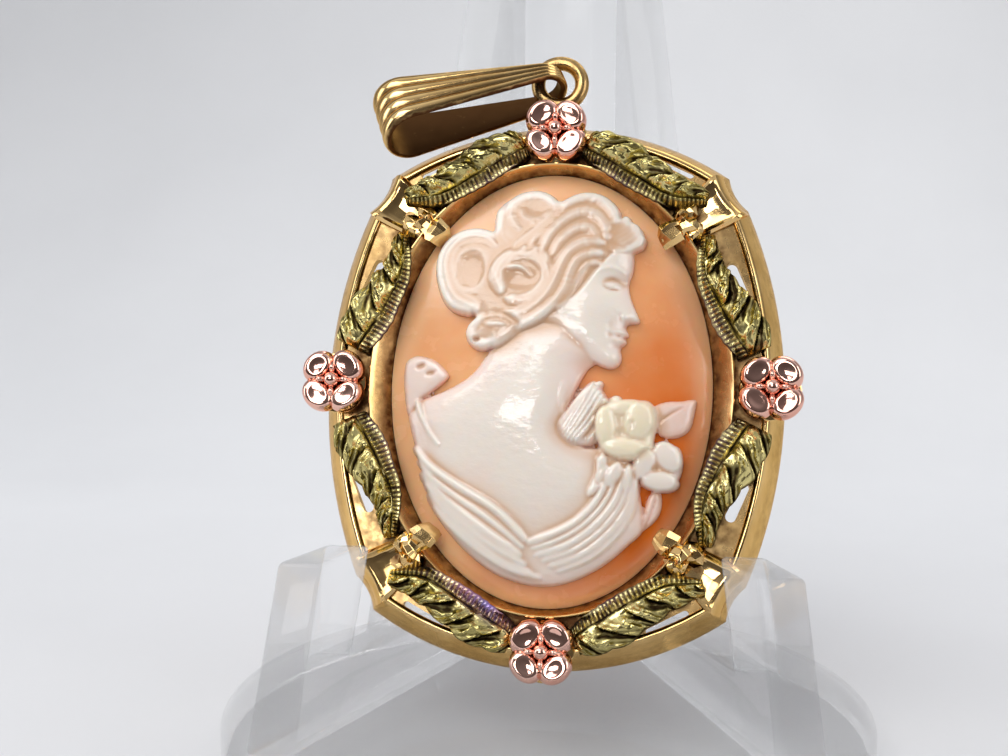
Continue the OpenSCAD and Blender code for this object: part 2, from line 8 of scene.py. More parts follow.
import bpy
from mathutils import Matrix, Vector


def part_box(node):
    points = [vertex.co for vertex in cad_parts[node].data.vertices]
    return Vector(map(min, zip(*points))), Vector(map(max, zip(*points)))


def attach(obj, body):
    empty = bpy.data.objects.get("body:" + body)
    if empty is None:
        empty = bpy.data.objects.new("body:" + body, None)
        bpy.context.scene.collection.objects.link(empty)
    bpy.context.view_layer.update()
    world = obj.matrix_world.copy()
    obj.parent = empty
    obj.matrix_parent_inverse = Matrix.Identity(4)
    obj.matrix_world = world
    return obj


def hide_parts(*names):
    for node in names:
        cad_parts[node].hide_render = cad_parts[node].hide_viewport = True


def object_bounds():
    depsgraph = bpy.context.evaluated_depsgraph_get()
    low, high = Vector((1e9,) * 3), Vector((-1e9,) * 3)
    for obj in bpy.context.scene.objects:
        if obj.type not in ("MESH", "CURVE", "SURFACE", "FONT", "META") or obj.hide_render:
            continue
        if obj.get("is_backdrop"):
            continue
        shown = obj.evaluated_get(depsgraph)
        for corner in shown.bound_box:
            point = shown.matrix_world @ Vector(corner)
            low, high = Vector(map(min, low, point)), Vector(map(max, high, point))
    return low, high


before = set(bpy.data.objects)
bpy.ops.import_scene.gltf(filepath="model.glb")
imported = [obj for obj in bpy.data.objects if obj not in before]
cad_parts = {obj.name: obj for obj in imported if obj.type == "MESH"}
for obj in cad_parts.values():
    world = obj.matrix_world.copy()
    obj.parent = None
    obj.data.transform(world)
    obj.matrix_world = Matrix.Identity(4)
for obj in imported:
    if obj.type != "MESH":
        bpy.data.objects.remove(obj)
solid_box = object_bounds()
print("solids:", sorted(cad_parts))

# %% Other modules
import math

import bmesh
import bpy
import numpy as np
from mathutils import Matrix, Quaternion, Vector
from mathutils.geometry import delaunay_2d_cdt

# %% [markdown]
# ## Places on the pendant
# A jeweller measures a pendant flat on the bench, so each piece is drawn flat in millimetres: x to
# the right, y up and z towards the viewer. One function then stands the points up on the easel,
# which leans 16 degrees. The sizes are those of the part's source, so the dressed pieces and the
# solids share their outlines.

# %% Sizes of the pendant, in millimetres
GAP = 0.03
SHELL_A, SHELL_B = 8.9, 12.1
GIRDLE, DOME_RISE, BACK_HOLLOW = 0.8, 1.9, 0.9
SEAT_Z, SEAT_W = 1.4, 0.7
SEAT_A, SEAT_B = SHELL_A + GAP, SHELL_B + GAP
RIM_A, RIM_B = SEAT_A + 1.1, SEAT_B + 0.46
BORDER = 2.95
FRAME_A, FRAME_B = RIM_A + BORDER, RIM_B + BORDER
END_R, SIDE_R, BITE_R = 17.4, 28.0, 3.0
BITE = np.array([0.985 * FRAME_A, 0.833 * FRAME_B])
SKIRT_D, BEVEL = 2.2, 0.25
PLATE_T = 0.7
LEAN = math.radians(16)
PENDANT_Y, PENDANT_Z = 3.5588, 18.7971
MM = 0.001


# %% Stand flat points up on the easel
def stand(points):
    """Points in millimetres on the flat pendant, as millimetres of the standing object."""
    x, y, z = np.asarray(points, float).reshape(-1, 3).T
    sin, cos = math.sin(LEAN), math.cos(LEAN)
    return np.stack([x, PENDANT_Y + y * sin - z * cos, PENDANT_Z + y * cos + z * sin], axis=1)


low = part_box("cameo_ground")[0]
lowest = stand([[0, -SHELL_B, SEAT_Z + GAP]])[0]
print("shell's lowest edge here", np.round(lowest, 2), "and in its solid", round(low[2] / MM, 2))

# %% [markdown]
# ## A helper that makes a piece
# Most pieces are grids of points that wrap round, such as a swept rail, a petal or a leaf. This
# helper turns points and faces into a smooth mesh, gives it its finish, lets it move with its body
# and hides the solids that it stands for. Working on whole arrays of points keeps the forms exact.


# %% Faces of a grid, and pieces from points
WELD = 1e-7  # metres within which points of one place become one


def grid_faces(rows, columns, wrap_rows=False, wrap_columns=True):
    """Quads between neighbouring rows of points, each row with the same number of columns."""
    faces = []
    for r in range(rows if wrap_rows else rows - 1):
        for c in range(columns if wrap_columns else columns - 1):
            a, b = r * columns + c, r * columns + (c + 1) % columns
            k = (r + 1) % rows * columns
            faces.append((a, b, k + (c + 1) % columns, k + c))
    return faces


def dress(mesh, finish, body, stands_for, crease):
    """A mesh as a smooth piece with its finish, which moves with a body and stands for solids."""
    mesh.shade_smooth()
    mesh.set_sharp_from_angle(angle=math.radians(crease))
    mesh.materials.append(finish)
    piece = bpy.data.objects.new(mesh.name, mesh)
    bpy.context.collection.objects.link(piece)
    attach(piece, body)
    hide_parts(*stands_for)
    print(f"{mesh.name}: {len(mesh.polygons)} faces")
    return piece


def make_piece(name, points, faces, finish, stands_for, body="pendant_on_easel", crease=38, merge=True):
    """A mesh piece from standing points in millimetres."""
    mesh = bpy.data.meshes.new(name)
    mesh.from_pydata((np.asarray(points) * MM).tolist(), [], faces)
    work = bmesh.new()
    work.from_mesh(mesh)
    if merge:
        bmesh.ops.remove_doubles(work, verts=work.verts, dist=WELD)
    bmesh.ops.recalc_face_normals(work, faces=work.faces)
    work.to_mesh(mesh)
    work.free()
    return dress(mesh, finish, body, stands_for, crease)


def join_parts(parts):
    """Several (points, faces) as one."""
    points, faces, start = [], [], 0
    for part_points, part_faces in parts:
        points.append(part_points)
        faces += [tuple(i + start for i in face) for face in part_faces]
        start += len(part_points)
    return np.concatenate(points), faces


def smooth_rows(rows, steps):
    """Rows of numbers with a smooth curve through them, steps places to each stretch."""
    rows = np.asarray(rows, float)
    out = []
    for i in range(len(rows) - 1):
        p, q = rows[max(i - 1, 0)], rows[i]
        r, s = rows[i + 1], rows[min(i + 2, len(rows) - 1)]
        for t in np.arange(steps) / steps:
            out.append(q + t * (r - p) / 2 + t**2 * (p - 2.5 * q + 2 * r - s / 2)
                       + t**3 * (1.5 * (q - r) + (s - p) / 2))
    return np.array(out + [rows[-1]])

# %% [markdown]
# ## Finishes
# Each finish is a small tree of nodes. Gold is a metal whose colour is its reflection, so the three
# golds differ in base colour, and in how finely they are polished. A little noise in the roughness
# and a shallow bump break up the reflections, as wear and hand polishing do. A dark brown is laid
# as far as a value that each piece carries, 0 on the crests and 1 deep down: patina in the chasing
# cuts, and painted shade in recesses, linings and low parts that the light does not reach.


# %% Helpers for finishes
def new_finish(name):
    """An empty finish, its tree of nodes and its surface shader."""
    finish = bpy.data.materials.new(name)
    finish.use_nodes = True
    tree = finish.node_tree
    tree.nodes.clear()
    surface = tree.nodes.new("ShaderNodeBsdfPrincipled")
    output = tree.nodes.new("ShaderNodeOutputMaterial")
    tree.links.new(surface.outputs["BSDF"], output.inputs["Surface"])
    return finish, tree, surface


def fill(node, **inputs):
    """Sets a node's inputs that are numbers or colours, and links those that are other outputs."""
    for key, value in inputs.items():
        socket = node.inputs[int(key[1:])] if key[0] == "_" else node.inputs[key.replace("_", " ")]
        if isinstance(value, bpy.types.NodeSocket):
            node.id_data.links.new(value, socket)
        else:
            socket.default_value = value


def add_node(tree, kind, settings=None, **inputs):
    """A node with its settings and its inputs."""
    node = tree.nodes.new("ShaderNode" + kind)
    for key, value in (settings or {}).items():
        setattr(node, key, value)
    fill(node, **inputs)
    return node


def combine(tree, operation, *values):
    """Numbers combined by one sum."""
    inputs = {f"_{k}": value for k, value in enumerate(values)}
    return add_node(tree, "Math", {"operation": operation}, **inputs).outputs[0]


def marked(tree, name):
    """The values that a piece is marked with under a name."""
    return add_node(tree, "Attribute", {"attribute_name": name}).outputs["Fac"]


def place_xyz(tree, kind="Object"):
    """Left to right, front to back and height, each as an output."""
    return add_node(tree, "SeparateXYZ", _0=add_node(tree, "TexCoord").outputs[kind]).outputs


def noise(tree, size, detail=3.0, stretch=(1, 1, 1)):
    """Noise whose lumps are about size millimetres across."""
    place = add_node(tree, "TexCoord").outputs["Object"]
    scaled = add_node(tree, "Mapping", Vector=place, Scale=tuple(s / (size * MM) for s in stretch))
    return add_node(tree, "TexNoise", Vector=scaled.outputs[0], Scale=1.0, Detail=detail).outputs[0]


def spread(tree, value, low, high, start=0.3, end=0.7):
    """A value stretched from start..end to low..high."""
    return add_node(tree, "MapRange", _0=value, _1=start, _2=end, _3=low, _4=high).outputs[0]


def mix_colour(tree, share, first, second):
    """One colour laid over another by a share."""
    node = add_node(tree, "Mix", {"data_type": "RGBA"}, _0=share, _6=first, _7=second)
    return node.outputs[2]


def add_bump(tree, surface, height, depth):
    """A bump depth millimetres deep, after any bump that is there already."""
    bump = add_node(tree, "Bump", Height=height, Distance=depth * MM, Strength=1.0)
    for link in surface.inputs["Normal"].links:
        fill(bump, Normal=link.from_socket)
    fill(surface, Normal=bump.outputs[0])
    return bump.outputs[0]


# %% The three golds
def gold(name, bright, shade, patina_and_shade_colour, tint, smooth, rough, ripple, grain):
    """A gold with two tones, a dark brown that is patina in its cuts and painted shade in its recesses,
    a tint where light grazes it, a range of polish and two depths of bump."""
    finish, tree, surface = new_finish(name)
    fill(surface, Metallic=1.0, Specular_Tint=tint)
    tone = mix_colour(tree, spread(tree, noise(tree, 2.2), 0, 1), bright, shade)
    # Patina in the cuts and painted shade in the recesses, as far as each piece carries it.
    cut = marked(tree, "cut")
    worn = spread(tree, noise(tree, 0.5), 0.75, 1.25)
    patina_and_shade_share = spread(tree, combine(tree, "MULTIPLY", cut, worn), 0, 1, 0.20, 0.85)
    polish = spread(tree, noise(tree, 0.8, 5), smooth, rough)
    fill(surface, Base_Color=mix_colour(tree, patina_and_shade_share, tone, patina_and_shade_colour),
         Roughness=combine(tree, "MULTIPLY_ADD", patina_and_shade_share, 0.35, polish))
    add_bump(tree, surface, noise(tree, 1.6, 2), ripple)
    add_bump(tree, surface, noise(tree, 0.12, 2), grain)
    return finish, tree, surface


# Each gold's third colour is its dark brown: patina in the cuts, painted shade in the recesses.
yellow_gold = gold("yellow_gold", (0.92, 0.64, 0.29, 1), (0.66, 0.42, 0.16, 1), (0.10, 0.045, 0.018, 1),
                   (1.0, 0.80, 0.52, 1), 0.07, 0.17, 0.03, 0.0010)[0]
rose_gold = gold("rose_gold", (0.95, 0.61, 0.50, 1), (0.84, 0.44, 0.35, 1), (0.16, 0.05, 0.04, 1),
                 (1.0, 0.80, 0.72, 1), 0.05, 0.13, 0.012, 0.0003)[0]
green_gold, tree, surface = gold("green_gold", (0.86, 0.74, 0.33, 1), (0.48, 0.41, 0.15, 1),
                                 (0.05, 0.030, 0.012, 1),
                                 (0.95, 0.88, 0.55, 1), 0.13, 0.26, 0.03, 0.0006)

# %% Purple bloom on one leaf
bloom = marked(tree, "bloom")
patch = combine(tree, "MULTIPLY", bloom, spread(tree, noise(tree, 0.7), 0.5, 1.0))
heat = mix_colour(tree, spread(tree, noise(tree, 1.1), 0, 1), (0.55, 0.22, 0.30, 1), (0.20, 0.16, 0.42, 1))
before = surface.inputs["Base Color"].links[0].from_socket
fill(surface, Base_Color=mix_colour(tree, patch, before, heat))

# %% [markdown]
# ## Shell
# The shell has two layers. The orange one is polished and lets light some way into it. Its colour
# is painted palest at the thin rim, where light comes through, and paler at the top and left, where
# the light falls, than at the lower right: painted light over the shell's own cloudy tone. The white
# one shows the orange through wherever it is carved thin, which a value named thickness gives to
# its finish, in millimetres of white over the orange.


# %% Orange and white shell
def orange_shell_finish():
    """Polished orange shell, painted peach at the top, the left and the rim, and deep orange at the lower
    right: painted light.
    """
    finish, tree, surface = new_finish("orange_shell")
    place = place_xyz(tree)
    # Painted light: paler to the left and the top, where the light falls, over a cloudy tone of the shell's
    # own.
    across = spread(tree, place[0], 0, 1, -5 * MM, 6 * MM)
    up = spread(tree, place[2], 1, 0, 17 * MM, 30 * MM)
    cloud = spread(tree, noise(tree, 5.0, 4), -0.25, 0.25)
    depth = combine(tree, "MULTIPLY_ADD", across, up, cloud)
    tone = mix_colour(tree, depth, (0.89, 0.48, 0.23, 1), (0.72, 0.16, 0.010, 1))
    # Painted light: a paler band along the thin rim, where light comes through.
    edge = marked(tree, "rim")
    tone = mix_colour(tree, edge, tone, (0.92, 0.54, 0.30, 1))
    fill(surface, Base_Color=tone, Roughness=spread(tree, noise(tree, 1.2), 0.16, 0.30),
         Subsurface_Weight=0.5, Subsurface_Scale=0.6 * MM, Subsurface_Radius=(1.0, 0.45, 0.2),
         Coat_Weight=0.4, Coat_Roughness=0.06,
         Coat_Normal=add_bump(tree, surface, noise(tree, 1.4, 3), 0.02))
    return finish


def white_shell_finish():
    """White shell that goes pink and orange where it is thin, with painted shade in its hollows and on its
    hair below the crests, and a soft polish.
    """
    finish, tree, surface = new_finish("white_shell")
    thick = marked(tree, "thickness")
    cloud = spread(tree, noise(tree, 3.0, 4), -0.08, 0.08)
    thick = combine(tree, "ADD", thick, cloud)
    thin_tone = mix_colour(tree, spread(tree, thick, 0, 1, 0.12, 0.5), (0.82, 0.42, 0.30, 1),
                           (0.86, 0.66, 0.59, 1))
    tone = mix_colour(tree, spread(tree, thick, 0, 1, 0.4, 0.85), thin_tone, (0.84, 0.765, 0.69, 1))
    cream = marked(tree, "cream")
    tone = mix_colour(tree, cream, tone, (0.90, 0.80, 0.58, 1))
    # Painted shade: a warm brown in the hollows and on the hair below its crests; in the hollows it also
    # stands for the orange through thinner shell.
    hollow = marked(tree, "hollow")
    tone = mix_colour(tree, spread(tree, hollow, 0, 0.90, 0, 1), tone, (0.64, 0.38, 0.21, 1))
    ripples = add_bump(tree, surface, noise(tree, 0.45, 3, (0.6, 1, 1)), 0.026)
    fill(surface, Base_Color=tone, Roughness=spread(tree, noise(tree, 1.0), 0.30, 0.45),
         Subsurface_Weight=0.6, Subsurface_Scale=0.5 * MM, Subsurface_Radius=(1.0, 0.72, 0.52),
         Coat_Weight=1.0, Coat_Roughness=0.035, Coat_Normal=ripples)
    return finish


orange_shell, white_shell = orange_shell_finish(), white_shell_finish()


# %% Clear acrylic
def acrylic_finish():
    """Clear acrylic sheet with a faint haze of handling marks."""
    finish, tree, surface = new_finish("clear_acrylic")
    tint = mix_colour(tree, spread(tree, noise(tree, 9.0), 0, 1), (0.99, 0.995, 1.0, 1),
                      (0.96, 0.98, 0.985, 1))
    fill(surface, Base_Color=tint, Roughness=spread(tree, noise(tree, 3.0, 4), 0.03, 0.12), IOR=1.49,
         Transmission_Weight=1.0, Alpha=0.30)
    add_bump(tree, surface, noise(tree, 6.0, 2), 0.02)
    return finish


clear_acrylic = acrylic_finish()
print("finishes:",
      [m.name for m in (yellow_gold, rose_gold, green_gold, orange_shell, white_shell, clear_acrylic)])

# %% [markdown]
# ## The shell's ground
# The orange ground is a shallow dome on an oval girdle, hollowed behind. It is made as an oval
# lathe: one half profile, from the middle of the front round to the middle of the back, swung round
# with the width and the length scaled apart. The rim of the dome has a narrow polished bevel. Three
# helpers come first: values that a finish reads, rings closed into a tube, and a ramp.


# %% Rings, tubes and values for the finishes
def mark(piece, **fields):
    """Values at the points of a piece, by name, for its finish to read."""
    for name, values in fields.items():
        piece.data.attributes.new(name, "FLOAT", "POINT").data.foreach_set("value", values)


def full_turn(count):
    """Angles evenly round a circle."""
    return np.linspace(0, 2 * np.pi, count, endpoint=False)


def tube(rings, first_cap=True):
    """Rings of points as a closed tube, with a flat cap at its end and, unless told not to, its start."""
    count, total = len(rings[0]), len(rings) * len(rings[0])
    caps = [tuple(range(count))] * first_cap + [tuple(range(total - count, total))]
    return np.concatenate(rings), grid_faces(len(rings), count) + caps


def ramp(value, width):
    """From 0 to 1 while a value runs from 0 to a width, and level outside."""
    return np.clip(value / width, 0, 1)


# %% Oval rings and the ground
def oval_rings(profile, columns=180):
    """Rings from rows of half width, half length and height."""
    turn = full_turn(columns)
    return [np.stack([a * np.cos(turn), b * np.sin(turn), np.full(columns, z)], axis=1)
            for a, b, z in profile]


def dome_height(x, y):
    """Height of the orange dome's surface over the bench."""
    return SEAT_Z + GAP + GIRDLE + DOME_RISE * (1 - (x / SHELL_A) ** 2 - (y / SHELL_B) ** 2)


CHAMFER = 0.94
front = [(SHELL_A * s, SHELL_B * s, dome_height(SHELL_A * s, 0))
         for s in [*np.linspace(0.004, 0.90, 22), 0.925, CHAMFER]]
corner_z = SEAT_Z + GAP + GIRDLE
profile = front + [(SHELL_A * 0.992, SHELL_B * 0.992, corner_z + 0.03), (SHELL_A, SHELL_B, corner_z - 0.05),
                   (SHELL_A, SHELL_B, SEAT_Z + GAP + 0.06),
                   (SHELL_A * 0.993, SHELL_B * 0.993, SEAT_Z + GAP)]
inner_a, inner_b = SHELL_A - SEAT_W, SHELL_B - SEAT_W
profile += [(inner_a * s, inner_b * s, SEAT_Z + GAP + BACK_HOLLOW * (1 - s * s))
            for s in np.linspace(1, 0.004, 16)]
points, faces = tube(oval_rings(profile))
ground = make_piece("shell_ground", stand(points), faces, orange_shell, ["cameo_ground"], crease=30)
across = np.array([v.co for v in ground.data.vertices]) / MM
share = np.hypot(across[:, 0] / SHELL_A, (across[:, 2] - PENDANT_Z) / math.cos(LEAN) / SHELL_B)
# The paler band at the rim is painted light, where light comes through the thin edge.
PALE_FROM, PALE_OVER, PALE = 0.86, 0.12, 0.7  # the paler edge, in shares of the way out
mark(ground, rim=ramp(share - PALE_FROM, PALE_OVER) * PALE)

# %% [markdown]
# ## The rail
# The frame's outer edge is one stamped band: a skirt that leans in from the back, and a rounded
# crest along its top. Its outline is four arcs that meet at the corners in a shallow bite between
# two tips. The outline is worked out for any distance in from the back edge, always with the same
# number of points, so that the band's profile can be swept round it without twisting.


# %% Outline of the frame and its rail
def circle(turn):
    """Points on a circle of radius 1 at these angles."""
    return np.stack([np.cos(turn), np.sin(turn)], axis=1)


def meeting_point(c1, r1, c2, r2, pick):
    """Where two circles meet: the point that scores highest with pick."""
    apart = c2 - c1
    d = np.hypot(*apart)
    along = (d * d + r1 * r1 - r2 * r2) / (2 * d)
    off = math.sqrt(r1 * r1 - along * along)
    middle, square = c1 + apart * along / d, np.array([-apart[1], apart[0]]) / d
    return max((middle + off * square, middle - off * square), key=pick)


def frame_outline(inset, counts=(44, 14, 44)):
    """The frame's outline, this far in from its back edge, from the right side round to the left."""
    end_c, side_c = np.array([0, FRAME_B - END_R]), np.array([FRAME_A - SIDE_R, 0])
    low_tip = meeting_point(side_c, SIDE_R - inset, BITE, BITE_R + inset, lambda p: -p[1])
    high_tip = meeting_point(end_c, END_R - inset, BITE, BITE_R + inset, lambda p: -p[0])

    def arc(centre, radius, start, end, count):
        a, b = (math.atan2(*(p - centre)[::-1]) for p in (start, end))
        if centre is BITE:
            a, b = a % (2 * math.pi), b % (2 * math.pi)
        turn = np.linspace(a, b, count, endpoint=False)
        return centre + radius * circle(turn)

    quarter = np.concatenate([
        arc(side_c, SIDE_R - inset, np.array([FRAME_A - inset, 0]), low_tip, counts[0]),
        arc(BITE, BITE_R + inset, low_tip, high_tip, counts[1]),
        arc(end_c, END_R - inset, high_tip, np.array([0, FRAME_B - inset]), counts[2])])
    top = np.array([[0, FRAME_B - inset]])
    half = np.concatenate([quarter, top, (quarter * [-1, 1])[:0:-1]])
    return np.concatenate([half, -half])


RAIL = [(0.04, 0), (0, 0.05), (0.03, 0.2), (0.26, 0.8), (0.55, 1.45), (0.78, 1.93), (0.90, 2.16),
        (0.97, 2.30), (1.06, 2.40), (1.16, 2.45), (1.27, 2.43), (1.36, 2.33), (1.40, 2.17), (1.34, 1.9),
        (0.95, 1.0), (0.56, 0.05), (0.50, 0)]
rings = []
for inset, z in RAIL:
    flat = frame_outline(inset)
    rings.append(np.column_stack([flat, np.full(len(flat), z)]))
rail = make_piece("frame_rail", stand(np.concatenate(rings)),
                  grid_faces(len(RAIL), len(rings[0]), wrap_rows=True),
                  yellow_gold, ["frame"], crease=45, merge=False)
# Painted shade: the skirt is painted darker towards its back edge, below the crest.
painted_shade = np.interp(np.concatenate(rings)[:, 2], [0, 1.6, 2.3], [0.40, 0.28, 0.0])
mark(rail, cut=painted_shade)

# %% [markdown]
# ## The setting
# The shell sits in an oval collet: an outer wall, a thin bright lip, an inner wall that slopes down
# to the shell, and a narrow seat under the girdle. It is an oval lathe too, and its lip is rounded
# by three close rings, because a real burnished edge catches one thin line of light. Below the lip
# all of the collet is painted dark brown, darkest low down: painted shade under the lip.

# %% Setting
LIP = 0.12
setting_rows = [(SEAT_A + 0.5, SEAT_B + 0.37, 0.8), (SEAT_A + 0.53, SEAT_B + 0.38, 0.86),
                (RIM_A - 0.3, RIM_B - 0.04, 2.2), (RIM_A - 0.02, RIM_B - 0.01, 3.08), (RIM_A, RIM_B, 3.16),
                (RIM_A - 0.03, RIM_B - 0.03, 3.22), (RIM_A - 0.08, RIM_B - 0.08, 3.23),
                (RIM_A - LIP - 0.02, RIM_B - LIP - 0.02, 3.18), (RIM_A - 0.35, RIM_B - 0.20, 2.98),
                (SEAT_A + 0.16, SEAT_B + 0.07, 2.42), (SEAT_A + 0.02, SEAT_B + 0.01, 2.26),
                (SEAT_A, SEAT_B, 2.2), (SEAT_A, SEAT_B, SEAT_Z), (SEAT_A - SEAT_W, SEAT_B - SEAT_W, SEAT_Z),
                (SEAT_A - SEAT_W, SEAT_B - SEAT_W, 0.8)]
rings = oval_rings(setting_rows)
points, faces = np.concatenate(rings), grid_faces(len(rings), len(rings[0]), wrap_rows=True)
setting = make_piece("frame_setting", stand(points), faces, yellow_gold, ["frame"], crease=30, merge=False)
# Painted shade: dark brown below the lip, down the inner wall, the seat and the outer wall.
painted_shade = np.interp(points[:, 2], [0.8, 2.0, 2.3, 2.9, 3.12, 3.2], [0.9, 0.9, 0.75, 0.55, 0.2, 0.0])
mark(setting, cut=painted_shade)

# %% [markdown]
# ## Places round the border
# Leaves, flowers, corners and claws are placed by the angle round the rim and by the share of the
# way across the border, as on the solids. Each is made once for the upper right quarter, and three
# mirrored copies follow it, because the border has two lines of symmetry.


# %% Border places and quarters
def rim_point(angle):
    """A place on the rim."""
    return np.array([RIM_A * math.cos(angle), RIM_B * math.sin(angle)])


def rim_out(angle):
    """The outward direction, square to the rim."""
    d = np.array([RIM_B * math.cos(angle), RIM_A * math.sin(angle)])
    return d / np.hypot(*d)


def border_point(degrees, share):
    """A place on the border, by its angle and its share of the way out across it."""
    angle = math.radians(degrees)
    return rim_point(angle) + share * BORDER * rim_out(angle)


QUARTERS = {"top_right": (1, 1), "top_left": (-1, 1), "bottom_left": (-1, -1), "bottom_right": (1, -1)}


# %% Corner panels
PANEL_REACH = [[0, 0.88, 0.88, 0.14], [0.35, 1.15, 1.05, 0.24], [0.7, 1.58, 1.32, 0.26],
               [0.85, 1.58, 1.28, 0.12], [1, 1.44, 1.16, 0.0]]


def bell(value, width):
    """A bell curve, 1 at 0 and near nothing two widths away."""
    return np.exp(-(value / width) ** 2)


def ridged_cut(s):
    """Height across a corner panel: a hollow between two folded ridges, each with a groove outside."""
    s = np.abs(s)
    return np.interp(s, [0, 0.4, 0.62, 0.74, 0.80, 0.85, 0.89, 0.94, 1.0],
                     [0, 0.10, 0.34, 0.68, 0.94, 1.0, 0.50, 0.50, 0.10])


def corner_panel():
    """A scoop from the rim out over the rail, in arcs that share their centre with the corner's bite."""
    start = border_point(45, -0.12)
    far = np.hypot(*(BITE - start))
    inward = math.atan2(*(start - BITE)[::-1])
    end_r = BITE_R + 0.42
    columns = 45
    s = np.linspace(-1, 1, columns)
    rings = []
    for t, towards_end, towards_side, tall in smooth_rows(PANEL_REACH, 7):
        radius = end_r + (1 - t) * (far - end_r)
        bend = np.where(s > 0, towards_end, towards_side) * s / radius
        flat = BITE + radius * circle(inward - bend)
        floor = np.interp(t, [0, 0.5, 0.70, 0.80, 0.86, 0.92, 1.0],
                          [2.22, 2.24, 2.36, 2.50, 2.46, 2.08, 1.32])
        z = floor + ridged_cut(s) * tall - 0.06 * bell(s, 0.5) * math.sin(math.pi * t)
        low = min(SKIRT_D - PLATE_T, floor - 0.5)
        rings.append(np.concatenate([np.column_stack([flat, z]),
                                     np.column_stack([flat[::-1], np.full(columns, low)])]))
    return tube(rings)


points, faces = corner_panel()
for corner, flip in QUARTERS.items():
    make_piece(f"corner_{corner}", stand(points * [*flip, 1]), faces, yellow_gold, ["frame"], crease=50)

# %% [markdown]
# ## Claws
# A claw is a tab of the frame that was folded over the shell with a punch, so it has flat dented
# facets and a knuckle on each side. It is swept as a thick strip along a bent path, with each
# section turned a few degrees. Its edges are only just broken, because the facets make its sparkle.


# %% Claws
CLAW_PATH = [  # distance out from the rim, height, half width, thickness, twist
    (0.98, 2.10, 0.56, 0.40, 0), (0.74, 2.92, 0.66, 0.50, -16), (0.40, 3.40, 0.60, 0.50, 14),
    (0.04, 3.30, 0.44, 0.34, -8), (-0.20, 3.34, 0.54, 0.40, 18), (-0.50, 3.66, 0.76, 0.44, -14),
    (-1.00, 3.60, 0.70, 0.42, 15), (-1.42, 3.14, 0.50, 0.20, -10)]
CLAW_CUT = np.array([[-1, 0.30], [-0.48, 1], [0.30, 0.72], [0.62, 1.0], [1, 0.2], [0.9, -0.4],
                     [-0.9, -0.4]])
KNUCKLE_ROWS = [(0.80, -0.8), (1.04, -0.2), (0.96, 0.30), (0.66, 0.56), (0.34, 0.62)]  # radius, height
KNUCKLES = [(0.52, 0.46, 2.82, 0.70, 24), (0.30, -0.50, 2.80, 0.64, -18)]
CLAW_MOODS = {"top_right": 1.0, "top_left": -0.9, "bottom_left": 0.35, "bottom_right": -1.15}


def claw_strip(mood):
    """A tab punched into flat dents; mood sets how hard and to which side."""
    rings = []
    for k, (out, z, half, thick, twist) in enumerate(CLAW_PATH):
        tilt = math.radians(twist * mood)
        side, up = CLAW_CUT[:, 0] * half, CLAW_CUT[:, 1] * thick / 2
        shear, sway = 0.14 * np.sin(2.4 * side + 1.7 * k * mood), 0.05 * math.sin(2.3 * k * mood)
        cos, sin = math.cos(tilt), math.sin(tilt)
        rings.append(np.stack([out + shear, side * cos - up * sin + sway, z + side * sin + up * cos],
                              axis=1))
    return tube(rings)


def knuckle(out, side, z, size, turn):
    """A crumpled lump, like a folded corner of sheet metal with flat dents."""
    rings = []
    for k, (radius, up) in enumerate(KNUCKLE_ROWS):
        a = full_turn(7) + 0.30 * k + math.radians(turn)
        dent = radius * (1 + 0.15 * np.sin(3 * a + 1.9 * k + turn) + 0.10 * np.sin(2 * a - turn))
        rings.append(np.stack([out + 1.15 * size * dent * np.cos(a), side + size * dent * np.sin(a),
                               z + size * (up + 0.20 * np.sin(2 * a + k))], axis=1))
    return tube(rings)


for corner, flip in QUARTERS.items():
    mood = CLAW_MOODS[corner]
    hand = math.copysign(1, mood)
    lumps = [knuckle(out, side * hand, z, size, turn * mood) for out, side, z, size, turn in KNUCKLES]
    parts, faces = join_parts([claw_strip(mood), *lumps])
    root, out = rim_point(math.radians(45)), rim_out(math.radians(45))
    x, y, z = parts.T
    flat = np.stack([root[0] + x * out[0] - y * out[1], root[1] + x * out[1] + y * out[0], z], axis=1)
    claw = make_piece(f"claw_{corner}", stand(flat * [*flip, 1]), faces, yellow_gold, ["frame"], crease=20)
    worn = claw.modifiers.new("soft_edges", "BEVEL")
    worn.width, worn.segments = (0.09 if abs(mood) < 0.5 else 0.035) * MM, 2
    worn.limit_method, worn.angle_limit, worn.harden_normals = "ANGLE", math.radians(28), False

# %% [markdown]
# ## The border's plate and the flower pads
# Under the leaves the frame is one plate between the setting and the rail, and it is pierced beside
# each leaf, where light comes through. The plate is a flat shape with holes, so its outlines are
# joined into triangles and given a thickness. It is painted dark all over and darkest near the
# setting: painted shade under the leaves.

